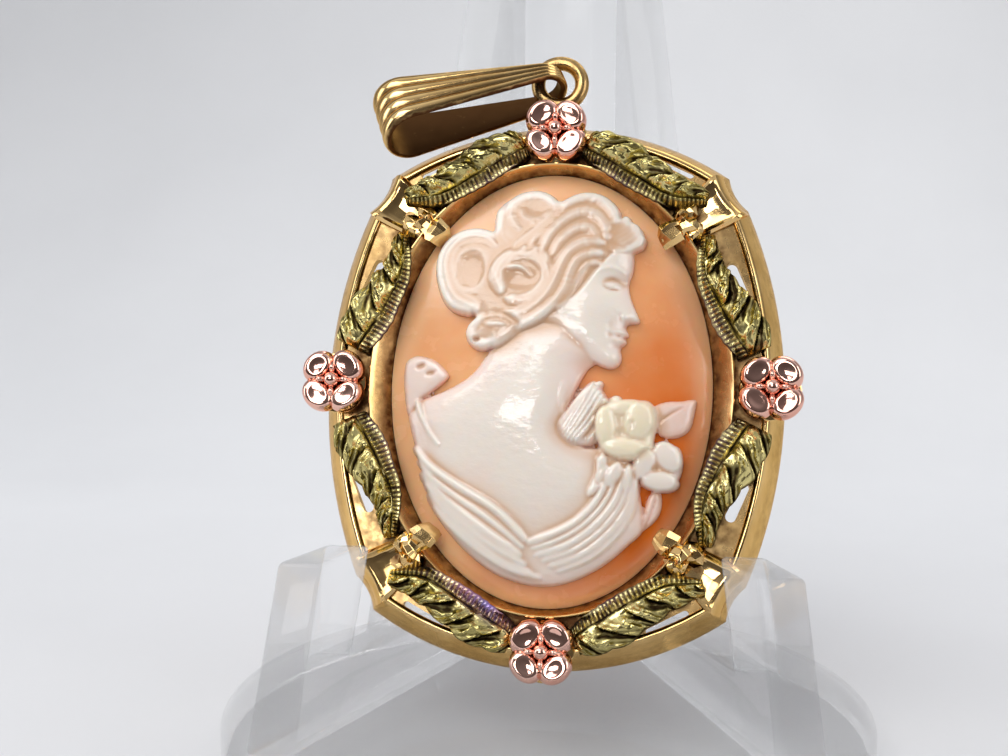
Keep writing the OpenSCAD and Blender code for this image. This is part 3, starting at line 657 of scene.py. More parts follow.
# %% Rows along a leaf
LEAF_W, LEAF_H = 2.8, 1.5
LEAF_END = [[81.5, 0.46, 0.54, 0.62], [77.5, 0.40, 0.76, 0.90], [71.5, 0.345, 0.90, 1.00],
            [65.5, 0.285, 0.87, 1.00], [59.5, 0.285, 0.80, 0.96], [54.5, 0.35, 0.72, 0.90],
            [50.2, 0.55, 0.52, 0.80], [47.0, 0.74, 0.28, 0.60]]
LEAF_SIDE = [[8.5, 0.42, 0.72, 0.62], [13.0, 0.29, 0.94, 0.90], [18.0, 0.16, 0.98, 1.00],
             [23.0, 0.07, 0.84, 1.00], [28.0, 0.02, 0.72, 0.96], [32.5, 0.07, 0.55, 0.88],
             [36.0, 0.19, 0.42, 0.80], [39.5, 0.32, 0.24, 0.62]]
LEAVES = {"leaf_top_right": (LEAF_END, 1, 1), "leaf_right_upper": (LEAF_SIDE, 1, 1),
          "leaf_right_lower": (LEAF_SIDE, 1, -1), "leaf_bottom_right": (LEAF_END, 1, -1),
          "leaf_bottom_left": (LEAF_END, -1, -1), "leaf_left_lower": (LEAF_SIDE, -1, -1),
          "leaf_left_upper": (LEAF_SIDE, -1, 1), "leaf_top_left": (LEAF_END, -1, 1)}


def leaf_rows(table, steps):
    """Along a leaf: its middle, the outward direction across it, half its width and its height share."""
    rows = smooth_rows(table, steps)
    middle = np.array([border_point(row[0], row[1]) for row in rows])
    along = np.gradient(middle, axis=0)
    along /= np.linalg.norm(along, axis=1)[:, None]
    side = np.stack([along[:, 1], -along[:, 0]], axis=1)
    side *= np.sign(np.sum(side * middle, axis=1))[:, None]
    return middle, side, rows[:, 2] * LEAF_W / 2, rows[:, 3]


# %% Pierced plate
SLOTS = [(63.5, 0.74, 0.17, 54.5, 0.87, 0.22), (30, 0.46, 0.30, 22.5, 0.50, 0.24)]
PLATE_INSET = 1.0


def slot_outline(first, share_1, r_1, last, share_2, r_2):
    """An opening with two round ends."""
    a, b = border_point(first, share_1), border_point(last, share_2)
    away = math.atan2(*(b - a)[::-1])
    turn = np.linspace(math.pi / 2, 3 * math.pi / 2, 12) + away
    bow = circle(turn)
    return np.concatenate([a + r_1 * bow, b - r_2 * bow])


def inside(points, loop):
    """Whether each point lies inside a closed outline."""
    ahead = np.roll(loop, -1, axis=0)
    x, y = points[:, :1], points[:, 1:]
    crosses = (loop[:, 1] > y) != (ahead[:, 1] > y)
    with np.errstate(divide="ignore", invalid="ignore"):
        at = loop[:, 0] + (y - loop[:, 1]) / (ahead[:, 1] - loop[:, 1]) * (ahead[:, 0] - loop[:, 0])
    return np.sum(crosses & (x < at), axis=1) % 2 == 1


turn = full_turn(160)
outer_loop = frame_outline(PLATE_INSET)
holes = [np.stack([(SEAT_A + 0.25) * np.cos(turn), (SEAT_B + 0.18) * np.sin(turn)], axis=1)]
holes += [slot_outline(*row) * flip for row in SLOTS for flip in QUARTERS.values()]
loops = [outer_loop] + holes
flat, edges = [], []
for loop in loops:
    edges += [(len(flat) + i, len(flat) + (i + 1) % len(loop)) for i in range(len(loop))]
    flat += [Vector(p) for p in loop.tolist()]
flat, edges, triangles = delaunay_2d_cdt(flat, edges, [], 0, 1e-6, True)[:3]
flat = np.array(flat)
middles = np.array([flat[list(t)].mean(axis=0) for t in triangles])
kept = inside(middles, outer_loop)
for hole in holes:
    kept &= ~inside(middles, hole)
triangles = [t for t, keep in zip(triangles, kept) if keep]
sides = dict.fromkeys((a, b) for t in triangles for a, b in zip(t, t[1:] + t[:1]))
rim = [(a, b) for a, b in sides if (b, a) not in sides]
count = len(flat)
faces = [tuple(t) for t in triangles] + [tuple(i + count for i in t[::-1]) for t in triangles]
faces += [(b, a, a + count, b + count) for a, b in rim]
points = np.concatenate([np.column_stack([flat, np.full(count, z)]) for z in (SKIRT_D, SKIRT_D - PLATE_T)])
plate = make_piece("border_plate", stand(points), faces, yellow_gold, ["frame"], crease=40, merge=False)
# Painted shade: dark all over the plate under the leaves, darkest beside the setting.
painted_shade = np.clip(1.0 - 3.0 * (np.hypot(points[:, 0] / RIM_A, points[:, 1] / RIM_B) - 1.0), 0.45, 0.95)
mark(plate, cut=painted_shade)
print("plate:", len(triangles), "triangles on a side and", len(holes), "openings")

# %% Flower pads
FLOWER_H, FLOWER_Z = 1.7, SKIRT_D + 0.55
FLOWER_PLACES = {"flower_top": (90, 0.582), "flower_right": (0, 0.648), "flower_bottom": (270, 0.582),
                 "flower_left": (180, 0.648)}
PAD_ROWS = [(1.36, 1.65), (1.44, 1.72), (1.46, 2.4), (1.58, 2.56), (1.60, 2.66),
            (1.50, 2.72)]  # radius, height
pads = []
for degrees, share in FLOWER_PLACES.values():
    x, y = border_point(degrees, share)
    points, faces = tube(oval_rings([(r, r, z) for r, z in PAD_ROWS], columns=40))
    turn = np.arctan2(points[:, 1], points[:, 0])
    puff = 1 + 0.06 * np.cos(4 * turn)[:, None] * (points[:, 2:] > 2.0)
    pads.append((points * np.hstack([puff, puff, np.ones_like(puff)]) + [x, y, 0], faces))
points, faces = join_parts(pads)
make_piece("flower_pads", stand(points), faces, yellow_gold, ["frame"])

# %% [markdown]
# ## The jump ring
# The ring that carries the bail is drawn wire soldered to the top of the frame, so it is a torus
# with a short solder foot that widens downwards.

# %% Ring and its foot
RING_R, WIRE_R = 1.25, 0.4
RING_C = np.array([0.07, FRAME_B + 1.65 + 0.4, 1.9])
FOOT_ROWS = [(0.30, 0.0, 0.0), (0.40, -0.15, 0.0), (0.46, -0.45, -0.06), (0.55, -0.9, -0.2),
             (0.62, -1.25, -0.36),
             (0.5, -1.6, -0.5)]  # radius, height under the ring's lowest wire, and how far forward
turn, wire_turn = full_turn(72)[:, None], full_turn(20)[None, :]
reach = RING_R + WIRE_R * np.cos(wire_turn)
wire = np.stack([reach * np.cos(turn), reach * np.sin(turn), WIRE_R * np.sin(wire_turn) + 0 * turn], axis=2)
turn = full_turn(24)
foot = [np.stack([r * np.cos(turn), np.full(24, y - RING_R), z + r * np.sin(turn)], axis=1)
        for r, y, z in FOOT_ROWS]
points, faces = join_parts([(wire.reshape(-1, 3), grid_faces(72, 20, wrap_rows=True)), tube(foot)])
ring = make_piece("jump_ring", stand(points + RING_C), faces, yellow_gold, ["frame"])
# Painted shade: the whole ring is laid evenly darker.
mark(ring, cut=np.full(len(ring.data.vertices), 0.45))

# %% [markdown]
# ## Flowers
# Each flower has four puffed petals on the diagonals round a bead. A petal is shaped like a bean,
# with a full round back and the shallowest dish on top. It is mirror bright, so each petal catches
# one white window and one dark hollow. It is drawn in rings, so that its rim stays round, and one
# level of subdivision smooths it.


# %% A flower
PETAL_ROWS = [(0.66, 0.02), (0.92, 0.16), (1.00, 0.36), (0.985, 0.56), (0.92, 0.72), (0.80, 0.83),
              (0.66, 0.885), (0.50, 0.89), (0.32, 0.865), (0.12, 0.855)]  # share of radius and height
STAMEN_PATH = [[0.34, 0.14, 0.66], [0.68, 0.16, 0.78], [1.0, 0.13, 0.62], [1.36, 0.09, 0.36]]


def petal(reach):
    """One petal that points to the right from the flower's middle."""
    turn = full_turn(32)
    outline = 1 - 0.10 * bell(np.cos(turn / 2), 0.26) + 0.03 * np.cos(2 * turn + np.pi)
    rings = []
    for r, z in PETAL_ROWS:
        lean = 0.16 * np.clip(0.55 - 0.45 * r * np.cos(turn), 0, 1) * (z > 0.1)
        rings.append(np.stack([r * outline * np.cos(turn), r * outline * 1.02 * np.sin(turn), z - lean],
                              axis=1))
    points, faces = tube(rings)
    return points * [0.86 * reach, reach, FLOWER_H], faces


def turned(points, degrees):
    """Points turned about the height axis."""
    a = math.radians(degrees)
    x, y, z = points.T
    return np.stack([x * math.cos(a) - y * math.sin(a), x * math.sin(a) + y * math.cos(a), z], axis=1)


def stamen(degrees):
    """A small ridge in the gap between two petals."""
    path = smooth_rows(STAMEN_PATH, 3)
    turn = full_turn(10)
    rings = [np.stack([0 * turn + x, r * np.cos(turn), FLOWER_H * z + r * np.sin(turn)], axis=1)
             for x, r, z in path]
    points, faces = tube(rings)
    return turned(points, degrees), faces


BEAD_R, BEAD_Z, PETAL_OUT = 0.44, 0.44 * FLOWER_H, 1.10
BEAD_ROWS = [(0.9, 0), (1.0, 0.35), (0.97, 0.62), (0.80, 0.84), (0.5, 0.97), (0.15, 1.02)]
bead = tube(oval_rings([(BEAD_R * r, BEAD_R * r, BEAD_Z + z) for r, z in BEAD_ROWS], 24), first_cap=False)
for index, (node, (degrees, share)) in enumerate(FLOWER_PLACES.items()):
    parts = []
    for k, turn in enumerate((45, 135, 225, 315)):
        points, faces = petal(1 + 0.03 * math.sin(3 * index + 2 * k))
        parts.append((turned(points + [PETAL_OUT, 0, 0], turn + 3 * math.sin(5 * k + index)), faces))
        parts.append(stamen(turn + 45))
    points, faces = join_parts([*parts, bead])
    x, y = border_point(degrees, share)
    flower = make_piece(f"{node}_petals", stand(points + [x, y, FLOWER_Z]), faces, rose_gold, [node],
                        crease=75)
    smooth = flower.modifiers.new("polish", "SUBSURF")
    smooth.levels = smooth.render_levels = 1

# %% [markdown]
# ## Leaves
# Each leaf is chased from the front: a comb of fine cuts along the shell's side, a groove, and then
# lobes that overlap like those of an oak leaf, each with veins and a bent back. It is made as a grid
# along and across the leaf, with its height worked out at each point. Its cuts are darkened with
# patina, and the low end of each lobe and both long edges are painted darker: painted shade under
# the next lobe and where the leaf meets the plate. One leaf has a purple bloom from heat, and the
# others have a trace of it.


# %% A leaf
def wave(turns):
    """A wave from 0 to 1, with its crests at whole turns."""
    return 0.5 + 0.5 * np.cos(2 * np.pi * turns)


def leaf_under(points):
    """Height that a leaf lies on: the plates, or the setting's rim where it reaches over it."""
    out = (np.hypot(points[:, 0] / RIM_A, points[:, 1] / RIM_B) - 1) * RIM_B
    return SKIRT_D + BEVEL + GAP + 0.75 * ramp(0.28 - out, 0.16)


COMB_PITCH, LOBE_PITCH = 0.23, 1.34  # millimetres from one cut, or one lobe, to the next
ACROSS = [-1, -0.93, -0.72, -0.5, -0.36, -0.1, 0.15, 0.45, 0.75, 0.94, 1]  # from the shell's side out
BODY = [0.34, 0.56, 0.80, 0.86, 0.78, 0.96, 1.02, 0.96, 0.80, 0.56, 0.36]  # height share there


def leaf_height(s, t, length, mood):
    """Height share over the leaf, and its patina in the cuts and painted shade; mood varies the leaves."""
    run = s * length
    body = np.interp(t, ACROSS, BODY)
    comb = ramp(-0.44 - t, 0.08) * ramp(t + 1.01, 0.06)
    fine = wave(run / COMB_PITCH + 0.5 * t + 0.15 * np.sin(5 * s + mood)) ** 0.8
    groove = bell(t + 0.40 + 0.03 * np.sin(9 * s + mood), 0.06)
    lobe = (run / LOBE_PITCH - 0.66 * np.clip(t + 0.35, 0, 1.4) ** 1.3 + 0.37 * math.sin(2 * mood)
            + 0.13 * np.sin(2.1 * run + mood) + 0.07 * np.sin(4.3 * run - 3 * t + 2 * mood)) % 1.0
    fold = np.clip((t + 0.36) * 2.4, 0, 1)
    step = fold * (0.46 * lobe**1.5 + 0.16 * bell((lobe + 0.06) % 1.0, 0.10) - 0.14)
    vein = wave(lobe * 3.0 - 0.8 * t + 0.2 * np.sin(13 * s + mood)) ** 1.6
    bent = bell(t - 0.16 - 0.10 * np.sin(2 * np.pi * lobe), 0.09) * fold
    dents = 0.06 * np.sin(11 * s + 5 * t + mood) * np.sin(8 * t - 13 * s + 2 * mood)
    dents = dents + 0.012 * np.sin(37 * s + 23 * t + mood)
    rib = fold * bell(lobe - 0.40 - 0.06 * np.sin(6 * t + mood), 0.055)
    height = body - 0.11 * comb * fine - 0.14 * groove - step - 0.07 * fold * vein
    height = height + 0.09 * bent + 0.10 * rib + dents
    # Patina in the veins and cuts, and painted shade at the low end of each lobe, under the next one.
    veined = np.clip(lobe - 0.5, 0, 1) * 1.7 + 0.5 * vein * (1 - bent) * (1 - rib) + 0.10
    cut = comb * (0.20 + 0.65 * fine) + 0.9 * groove + fold * veined
    shadow = ramp(np.abs(t) - 0.86, 0.12) * 0.8
    return height, np.clip(np.maximum(cut, shadow), 0, 1)


def leaf_outline(s, t, mood):
    """Width share of a leaf's two sides: nearly plain by the shell and lobed outside."""
    lobed = np.abs(np.sin(np.pi * (s * 4.6 + 0.17 * math.sin(2 * mood)))) ** 0.7
    return np.where(t > 0, 0.89 + 0.15 * lobed, 0.99 + 0.015 * np.sin(90 * s))


def leaf_mesh(table, mood):
    """A leaf's points and faces, with its patina and painted shade and its bloom at every point."""
    columns = 44
    middle, side, half, tall = leaf_rows(table, steps=26)
    rows = len(middle)
    length = np.sum(np.linalg.norm(np.diff(middle, axis=0), axis=1))
    t = np.sin(np.linspace(-1, 1, columns) * np.pi / 2 * 0.92) / math.sin(np.pi / 2 * 0.92)
    s_grid, t_grid = np.repeat(np.linspace(0, 1, rows), columns), np.tile(t, rows)
    width = np.repeat(half, columns) * leaf_outline(s_grid, t_grid, mood)
    flat = np.repeat(middle, columns, axis=0) + (t_grid * width)[:, None] * np.repeat(side, columns, axis=0)
    share, cut = leaf_height(s_grid, t_grid, length, mood)
    under = leaf_under(flat)
    ends = np.sqrt(ramp(np.minimum(s_grid, 1 - s_grid), 0.05))
    top = SKIRT_D + BEVEL + GAP + share * np.repeat(tall, columns) * LEAF_H * (0.45 + 0.55 * ends)
    top = np.maximum(top, under + 0.22)
    points = np.concatenate([np.column_stack([flat, top]), np.column_stack([flat, under])])
    count = rows * columns
    top_faces = grid_faces(rows, columns, wrap_columns=False)
    faces = top_faces + [tuple(i + count for i in face[::-1]) for face in top_faces]
    edge = [*range(columns), *range(2 * columns - 1, count, columns),
            *range(count - 2, count - columns - 1, -1),
            *range(count - 2 * columns, 0, -columns)]
    faces += [(a, b, b + count, a + count) for a, b in zip(edge, edge[1:] + edge[:1])]
    bloom = np.clip(-t_grid * 1.4 - 0.1, 0, 1) * bell(s_grid - 0.30, 0.28)
    # The underside is painted fully dark: painted shade.
    return points, faces, np.concatenate([cut, np.ones(count)]), np.concatenate([bloom, bloom])


BLOOMED, BLOOM_TRACE, MOOD_STEP = "leaf_bottom_left", 0.15, 1.7
for index, (node, (table, flip_x, flip_y)) in enumerate(LEAVES.items()):
    flat, faces, cut, bloom = leaf_mesh(table, MOOD_STEP * index)
    points = stand(flat * [flip_x, flip_y, 1])
    leaf = make_piece(f"{node}_chased", points, faces, green_gold, [node], crease=60, merge=False)
    mark(leaf, cut=cut, bloom=bloom * (1.0 if node == BLOOMED else BLOOM_TRACE))

# %% [markdown]
# ## The bail
# The bail is a strap of sheet gold, fluted lengthwise, tapered, and bent into a loop that hangs in
# the ring. It lies down on the frame's left shoulder. Its section is swept round the loop: plain
# inside, and outside with four rounded flutes that converge as the strap narrows. The lining and
# the flutes' valleys are painted brown: painted shade inside the loop and down the valleys.

# %% Bail
BAIL_L, BAIL_WIDE, BAIL_NARROW, BAIL_DEEP, BAIL_T, BAIL_RIDGE = 10.7, 3.8, 0.9, 3.2, 0.3, 0.14
BAIL_NEAR_R, BAIL_TIP = 1.0, 0.1
BAIL_TURNS = {"X": 28, "Y": -10, "Z": 196}  # roll, lift and turn to the left shoulder, in that order


def bail_mesh():
    """The strap swept round its loop, with its painted shade at every point."""
    far_r = BAIL_DEEP / 2 - BAIL_T
    near, far = np.array([BAIL_TIP + BAIL_NEAR_R, 0]), np.array([BAIL_L - BAIL_T - BAIL_RIDGE - far_r, 0])
    slope = math.degrees(math.asin((far_r - BAIL_NEAR_R) / (far[0] - near[0])))
    path = [(far, far_r, a) for a in np.linspace(-(90 + slope), 90 + slope, 34)]
    shares = np.linspace(0.08, 0.92, 10)
    path += [(far + (near - far) * k, far_r + (BAIL_NEAR_R - far_r) * k, 90 + slope) for k in shares]
    path += [(near, BAIL_NEAR_R, a) for a in np.linspace(90 + slope, 270 - slope, 22)]
    path += [(near + (far - near) * k, BAIL_NEAR_R + (far_r - BAIL_NEAR_R) * k, 270 - slope)
             for k in shares]
    across = np.linspace(-1, 1, 49)
    back, waves = across[::-6], np.abs(np.sin(2 * np.pi * across))
    flute = BAIL_T + BAIL_RIDGE * waves ** 0.8 - 0.10 * ramp(np.abs(across) - 0.93, 0.07)
    edge = 0.04 * ramp(np.abs(back) - 0.9, 0.1)
    rings, cut = [], []
    for centre, radius, degrees in path:
        out = np.array([math.cos(math.radians(degrees)), math.sin(math.radians(degrees))])
        inner = centre + radius * out
        half = (BAIL_NARROW + (BAIL_WIDE - BAIL_NARROW) * max(0, inner[0]) / BAIL_L) / 2
        skin, lining = inner + flute[:, None] * out, inner + edge[:, None] * out
        rings.append(np.concatenate([np.stack([skin[:, 0], across * half, skin[:, 1]], axis=1),
                                     np.stack([lining[:, 0], back * half, lining[:, 1]], axis=1)]))
        # Painted shade: the flutes' valleys darker, and the lining inside the loop dark brown.
        cut += [0.10 + 0.75 * (1 - waves) ** 2, np.full(len(back), 1.1)]
    return np.concatenate(rings), grid_faces(len(rings), len(rings[0]), wrap_rows=True), np.concatenate(cut)


points, faces, cut = bail_mesh()
for axis, degrees in BAIL_TURNS.items():
    points = points @ np.array(Matrix.Rotation(math.radians(degrees), 3, axis)).T
bail = make_piece("fluted_bail", stand(points + RING_C), faces, yellow_gold, ["bail"], body="bail",
                  crease=60, merge=False)
mark(bail, cut=cut)
box = np.array(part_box("bail")) / MM
made = np.array([v.co for v in bail.data.vertices]) / MM
print("bail's box here", made.min(0).round(2), made.max(0).round(2), "and of its solid",
      box.round(2).tolist())

# %% [markdown]
# ## The carving
# A cameo carver works from above, so the carving is a field of heights over the orange ground. It
# is laid down like paint, one form over another: shoulder, face, hair, dress and roses. Each form is
# an outline, an oval or a stroke along a path, and each gives two things at every place: how deep
# the place lies inside the form, and how high the form stands there. The depth also gives the
# carving its crisp edge. A sculpted mesh could do the same, but this way every form keeps its size.

# %% Fields over the carving
STEP = 0.085  # between neighbouring places, in millimetres
LEFT, RIGHT, BOTTOM, TOP = -8.6, 8.3, -11.4, 11.4
grid_x, grid_y = np.meshgrid(np.arange(LEFT, RIGHT, STEP), np.arange(BOTTOM, TOP, STEP))
SPOTS = np.stack([grid_x.ravel(), grid_y.ravel()], axis=1)
FAR = -9.0  # the depth of a place that is nowhere near a form


def near(outline, room):
    """The places within room of an outline's box."""
    outline = np.asarray(outline)
    return np.all((SPOTS > outline.min(0) - room) & (SPOTS < outline.max(0) + room), axis=1)


def to_segments(places, path):
    """Distance from places to a path, which stretch is nearest and how far along it, and the side."""
    best, nearest = np.full(len(places), 1e9), np.zeros(len(places))
    side = np.zeros(len(places))
    for i, (a, b) in enumerate(zip(path[:-1], path[1:])):
        d = b - a
        if not d.any():
            continue
        share = ramp((places - a) @ d, d @ d)
        off = places - a - share[:, None] * d
        gap = np.hypot(*off.T)
        closer = gap < best
        best[closer], nearest[closer] = gap[closer], (i + share)[closer]
        side[closer] = np.sign(d[0] * off[:, 1] - d[1] * off[:, 0])[closer]
    return best, nearest / (len(path) - 1), side


def outline_depth(corners, steps=5):
    """How deep each place lies inside a smooth closed outline, negative outside."""
    corners = np.asarray(corners)
    looped = np.concatenate([corners[-2:], corners, corners[:2]])
    looped = smooth_rows(looped, steps)[steps * 2:-steps * 2 - 1]
    looped = np.concatenate([looped, looped[:1]])
    depth = np.full(len(SPOTS), FAR)
    pick = near(looped, 1.5)
    places = SPOTS[pick]
    depth[pick] = to_segments(places, looped)[0] * np.where(inside(places, looped[:-1]), 1, -1)
    return depth


def stroke(path, start_half, end_half, smooth=True):
    """Depth inside a stroke, how far across it from -1 to 1, and how far along it."""
    path = smooth_rows(path, 6) if smooth else np.asarray(path)
    depth, across, along = np.full(len(SPOTS), FAR), np.zeros(len(SPOTS)), np.zeros(len(SPOTS))
    pick = near(path, max(start_half, end_half) + 0.3)
    gap, share, side = to_segments(SPOTS[pick], path)
    half = start_half + (end_half - start_half) * share
    half = half * (0.55 + 0.45 * np.sqrt(ramp(np.minimum(share, 1 - share), 0.12)))
    depth[pick], across[pick], along[pick] = half - gap, side * gap / half, share
    return depth, np.clip(across, -1, 1), along


def oval_depth(x, y, half_length, half_width, degrees):
    """Depth inside an oval, and 0 at its middle to 1 at its edge."""
    a = math.radians(degrees)
    d = SPOTS - [x, y]
    k = np.hypot((d[:, 0] * math.cos(a) + d[:, 1] * math.sin(a)) / half_length,
                 (d[:, 1] * math.cos(a) - d[:, 0] * math.sin(a)) / half_width)
    return (1 - k) * min(half_length, half_width), k


def pillow(depth, reach):
    """A quarter round from 0 at the edge to 1 a reach inside."""
    k = 1 - ramp(depth, reach)
    return np.sqrt(1 - k * k)


# %% Laying one form over another
carved = np.zeros(len(SPOTS))
covered = np.full(len(SPOTS), FAR)
cream = np.zeros(len(SPOTS))


def lay(depth, height, soft=0.07, over=True):
    """Lays a form of some height where its depth is positive, over what is there or merged with it."""
    global carved, covered
    share = ramp(depth, soft)
    share = share * share * (3 - 2 * share)
    height = height if over else np.maximum(carved, height)
    carved = carved * (1 - share) + height * share
    covered = np.maximum(covered, depth)


def soften(field, times=1):
    """A field blurred a little, a few times over."""
    field = field.reshape(grid_x.shape)
    for _ in range(times):
        wide = np.pad(field, 1, mode="edge")
        beside = wide[:-2, 1:-1] + wide[2:, 1:-1] + wide[1:-1, :-2] + wide[1:-1, 2:]
        field = 0.5 * wide[1:-1, 1:-1] + 0.125 * beside
    return field.ravel()


def hill(x, y, reach_x, reach_y, rise):
    """A soft hill, or a hollow if rise is negative."""
    return rise * np.exp(-((SPOTS[:, 0] - x) / reach_x) ** 2 - ((SPOTS[:, 1] - y) / reach_y) ** 2)


def between(first, second, count):
    """Strokes spaced evenly from one stroke towards the next."""
    curves = [smooth_rows(s[0], 6) for s in (first, second)]
    even = [np.stack([np.interp(np.linspace(0, 1, 30), np.linspace(0, 1, len(p)), p[:, k])
                      for k in (0, 1)], axis=1) for p in curves]
    for share in np.arange(count) / count:
        mixed = even[0] * (1 - share) + even[1] * share
        half = [first[1][k] * (1 - share) + second[1][k] * share for k in (0, 1)]
        yield mixed, half, first[2] * (1 - share) + second[2] * share


# %% [markdown]
# ### Shoulder, neck and scarf
# The bust is cut off by the dress at the sides. Skin is one broad, smooth form with a wide quarter
# round at its edges, so it takes the long soft highlight that polished shell has.

# %% Skin and scarf
SKIN = [(-1.67, 3.52), (-2.6, 2.26), (-3.27, 1.58), (-3.99, 0.6), (-4.73, 0.0), (-5.61, -0.45),
        (-6.91, -0.92), (-7.46, -1.15), (-7.76, -1.85), (-7.33, -3.49), (-6.79, -5.25), (-6.17, -6.86),
        (-5.5, -7.95), (-4.26, -9.22), (-2.87, -10.22), (-1.78, -10.66), (-0.7, -10.9), (0.37, -10.9),
        (1.43, -10.63), (2.48, -10.14), (3.52, -9.45), (4.5, -8.56), (5.19, -7.86), (5.22, -6.95),
        (5.04, -5.76), (4.82, -4.57), (3.67, -3.52), (1.79, -3.42), (0.79, -2.63), (1.0, -1.81),
        (1.45, -0.71), (2.1, 0.64), (2.76, 1.36), (2.18, 3.01), (0.78, 4.11)]
SCARF = [(-7.76, -1.85), (-8.08, -0.33), (-8.12, 0.78), (-7.92, 1.31), (-7.29, 1.52), (-6.33, 1.23),
         (-5.7, 0.68), (-5.49, 0.24), (-6.24, -0.41), (-6.91, -0.92), (-7.03, -1.42)]
SKIN_HILLS = [(-1.6, -1.6, 2.6, 2.2, 0.12), (-0.4, 1.6, 1.5, 1.4, 0.03), (2.2, 0.9, 1.5, 0.7, -0.10),
              (-5.2, -2.0, 1.6, 1.8, 0.04), (1.0, -3.8, 2.4, 2.0, 0.05)]  # place, reach and rise
skin_depth = outline_depth(SKIN)
skin = 0.30 + 0.50 * pillow(skin_depth, 2.6)
for row in SKIN_HILLS:
    skin += hill(*row)
lay(skin_depth, skin)
for path, rise in (([(0.9, -0.1), (0.75, -1.0), (0.9, -1.9)], 0.05),
                   ([(1.75, -0.4), (1.35, -1.1), (1.25, -1.8)], 0.04)):
    depth, t = stroke(path, 0.28, 0.16)[:2]
    carved += np.where(depth > 0, rise * np.cos(t * np.pi / 2) ** 2, 0)
scarf_depth = outline_depth(SCARF)
lay(scarf_depth, 0.26 + 0.30 * pillow(scarf_depth, 0.55))
print("skin and scarf cover", int((covered > 0).sum()), "places")

# %% [markdown]
# ### Face
# The face is a plain classical profile of our own, on the usual thirds: hairline, brow, foot of the
# nose and chin. It is drawn in shares of its own height, and looks calmly down. Its features are
# soft hills and fine strokes, no higher than a tenth of a millimetre or so, as on a real cameo.

# %% Face
FACE_H, FACE_X, FACE_Y, FACE_TILT = 7.744, 0.267, 1.15, -7
RELIEF = 1.35  # one factor on every feature, so that they show at a glance
FACE = [(-0.30, 0.98), (0.22, 1.04), (0.37, 0.98), (0.432, 0.90), (0.455, 0.81), (0.458, 0.72),
        (0.446, 0.655), (0.448, 0.60), (0.472, 0.53), (0.508, 0.46), (0.545, 0.40), (0.556, 0.375),
        (0.545, 0.352), (0.50, 0.340), (0.475, 0.328), (0.470, 0.305), (0.482, 0.282), (0.495, 0.262),
        (0.490, 0.244), (0.470, 0.230), (0.484, 0.213), (0.484, 0.192), (0.462, 0.170), (0.452, 0.148),
        (0.464, 0.115), (0.470, 0.080), (0.460, 0.040), (0.425, 0.008), (0.37, 0.000), (0.30, 0.020),
        (0.20, 0.065), (0.10, 0.125), (-0.02, 0.20), (-0.25, 0.30)]


def on_face(u, v):
    """A place given in shares of the face's height, in millimetres on the pendant."""
    a = math.radians(FACE_TILT)
    return (FACE_X + FACE_H * (u * math.cos(a) - v * math.sin(a)),
            FACE_Y + FACE_H * (u * math.sin(a) + v * math.cos(a)))


FACE_HILLS = [  # across, up, reach across, reach up and rise
    (0.20, 0.40, 0.14, 0.13, 0.07), (0.12, 0.22, 0.12, 0.08, 0.03), (0.30, 0.84, 0.12, 0.10, 0.04),
    (0.345, 0.605, 0.085, 0.050, -0.17), (0.415, 0.605, 0.030, 0.045, -0.07),
    (0.340, 0.588, 0.052, 0.026, 0.15), (0.452, 0.368, 0.026, 0.026, 0.12),
    (0.488, 0.344, 0.018, 0.009, -0.12), (0.36, 0.29, 0.03, 0.05, -0.03),
    (0.362, 0.228, 0.016, 0.020, -0.06), (0.425, 0.160, 0.035, 0.018, -0.06),
    (0.410, 0.075, 0.05, 0.05, 0.07)]
FACE_LINES = [  # path, half width and rise
    ([(0.262, 0.600), (0.325, 0.632), (0.395, 0.610)], 0.012, -0.05),  # fold over the lid
    ([(0.262, 0.578), (0.300, 0.560), (0.345, 0.553), (0.392, 0.566)], 0.010, -0.10),  # lashes
    ([(0.21, 0.668), (0.29, 0.712), (0.37, 0.706), (0.43, 0.682)], 0.028, 0.07),  # brow
    ([(0.450, 0.60), (0.474, 0.52), (0.506, 0.45), (0.530, 0.39)], 0.030, 0.06),  # bridge of the nose
    ([(0.418, 0.392), (0.416, 0.355), (0.440, 0.335)], 0.010, -0.06),  # crease behind the nostril
    ([(0.385, 0.246), (0.430, 0.262), (0.462, 0.256), (0.490, 0.252)], 0.016, 0.08),  # upper lip
    ([(0.395, 0.212), (0.430, 0.200), (0.478, 0.204)], 0.017, 0.08),  # lower lip
    ([(0.366, 0.231), (0.410, 0.236), (0.440, 0.231), (0.478, 0.230)], 0.009, -0.12)]  # between the lips
face_depth = outline_depth([on_face(*p) for p in FACE], 4)
face = 0.34 + 0.60 * pillow(face_depth, 1.9)
for u, v, reach_u, reach_v, rise in FACE_HILLS:
    face += hill(*on_face(u, v), reach_u * FACE_H, reach_v * FACE_H, rise * RELIEF)
for path, half, rise in FACE_LINES:
    depth, t, s = stroke([on_face(*p) for p in path], half * FACE_H, half * FACE_H)
    ends = np.sin(np.pi * np.clip(s, 0.04, 0.96)) ** 0.5
    face += np.where(depth > 0, rise * RELIEF * np.cos(t * np.pi / 2) ** 2 * ends, 0)
lay(face_depth, face, soft=0.05, over=False)

# %% [markdown]
# ### Hair
# The hair is swept up: waves run from the temple and the crown back to a bun with a rolled rim, and
# small curls lie on the forehead and the nape. Each lock is a stroke with a low round back and fine
# strands, and later locks lie over earlier ones, which gives their crossings. Cameo hair is shallow:
# its locks stand only one or two tenths of a millimetre over the gaps between them.

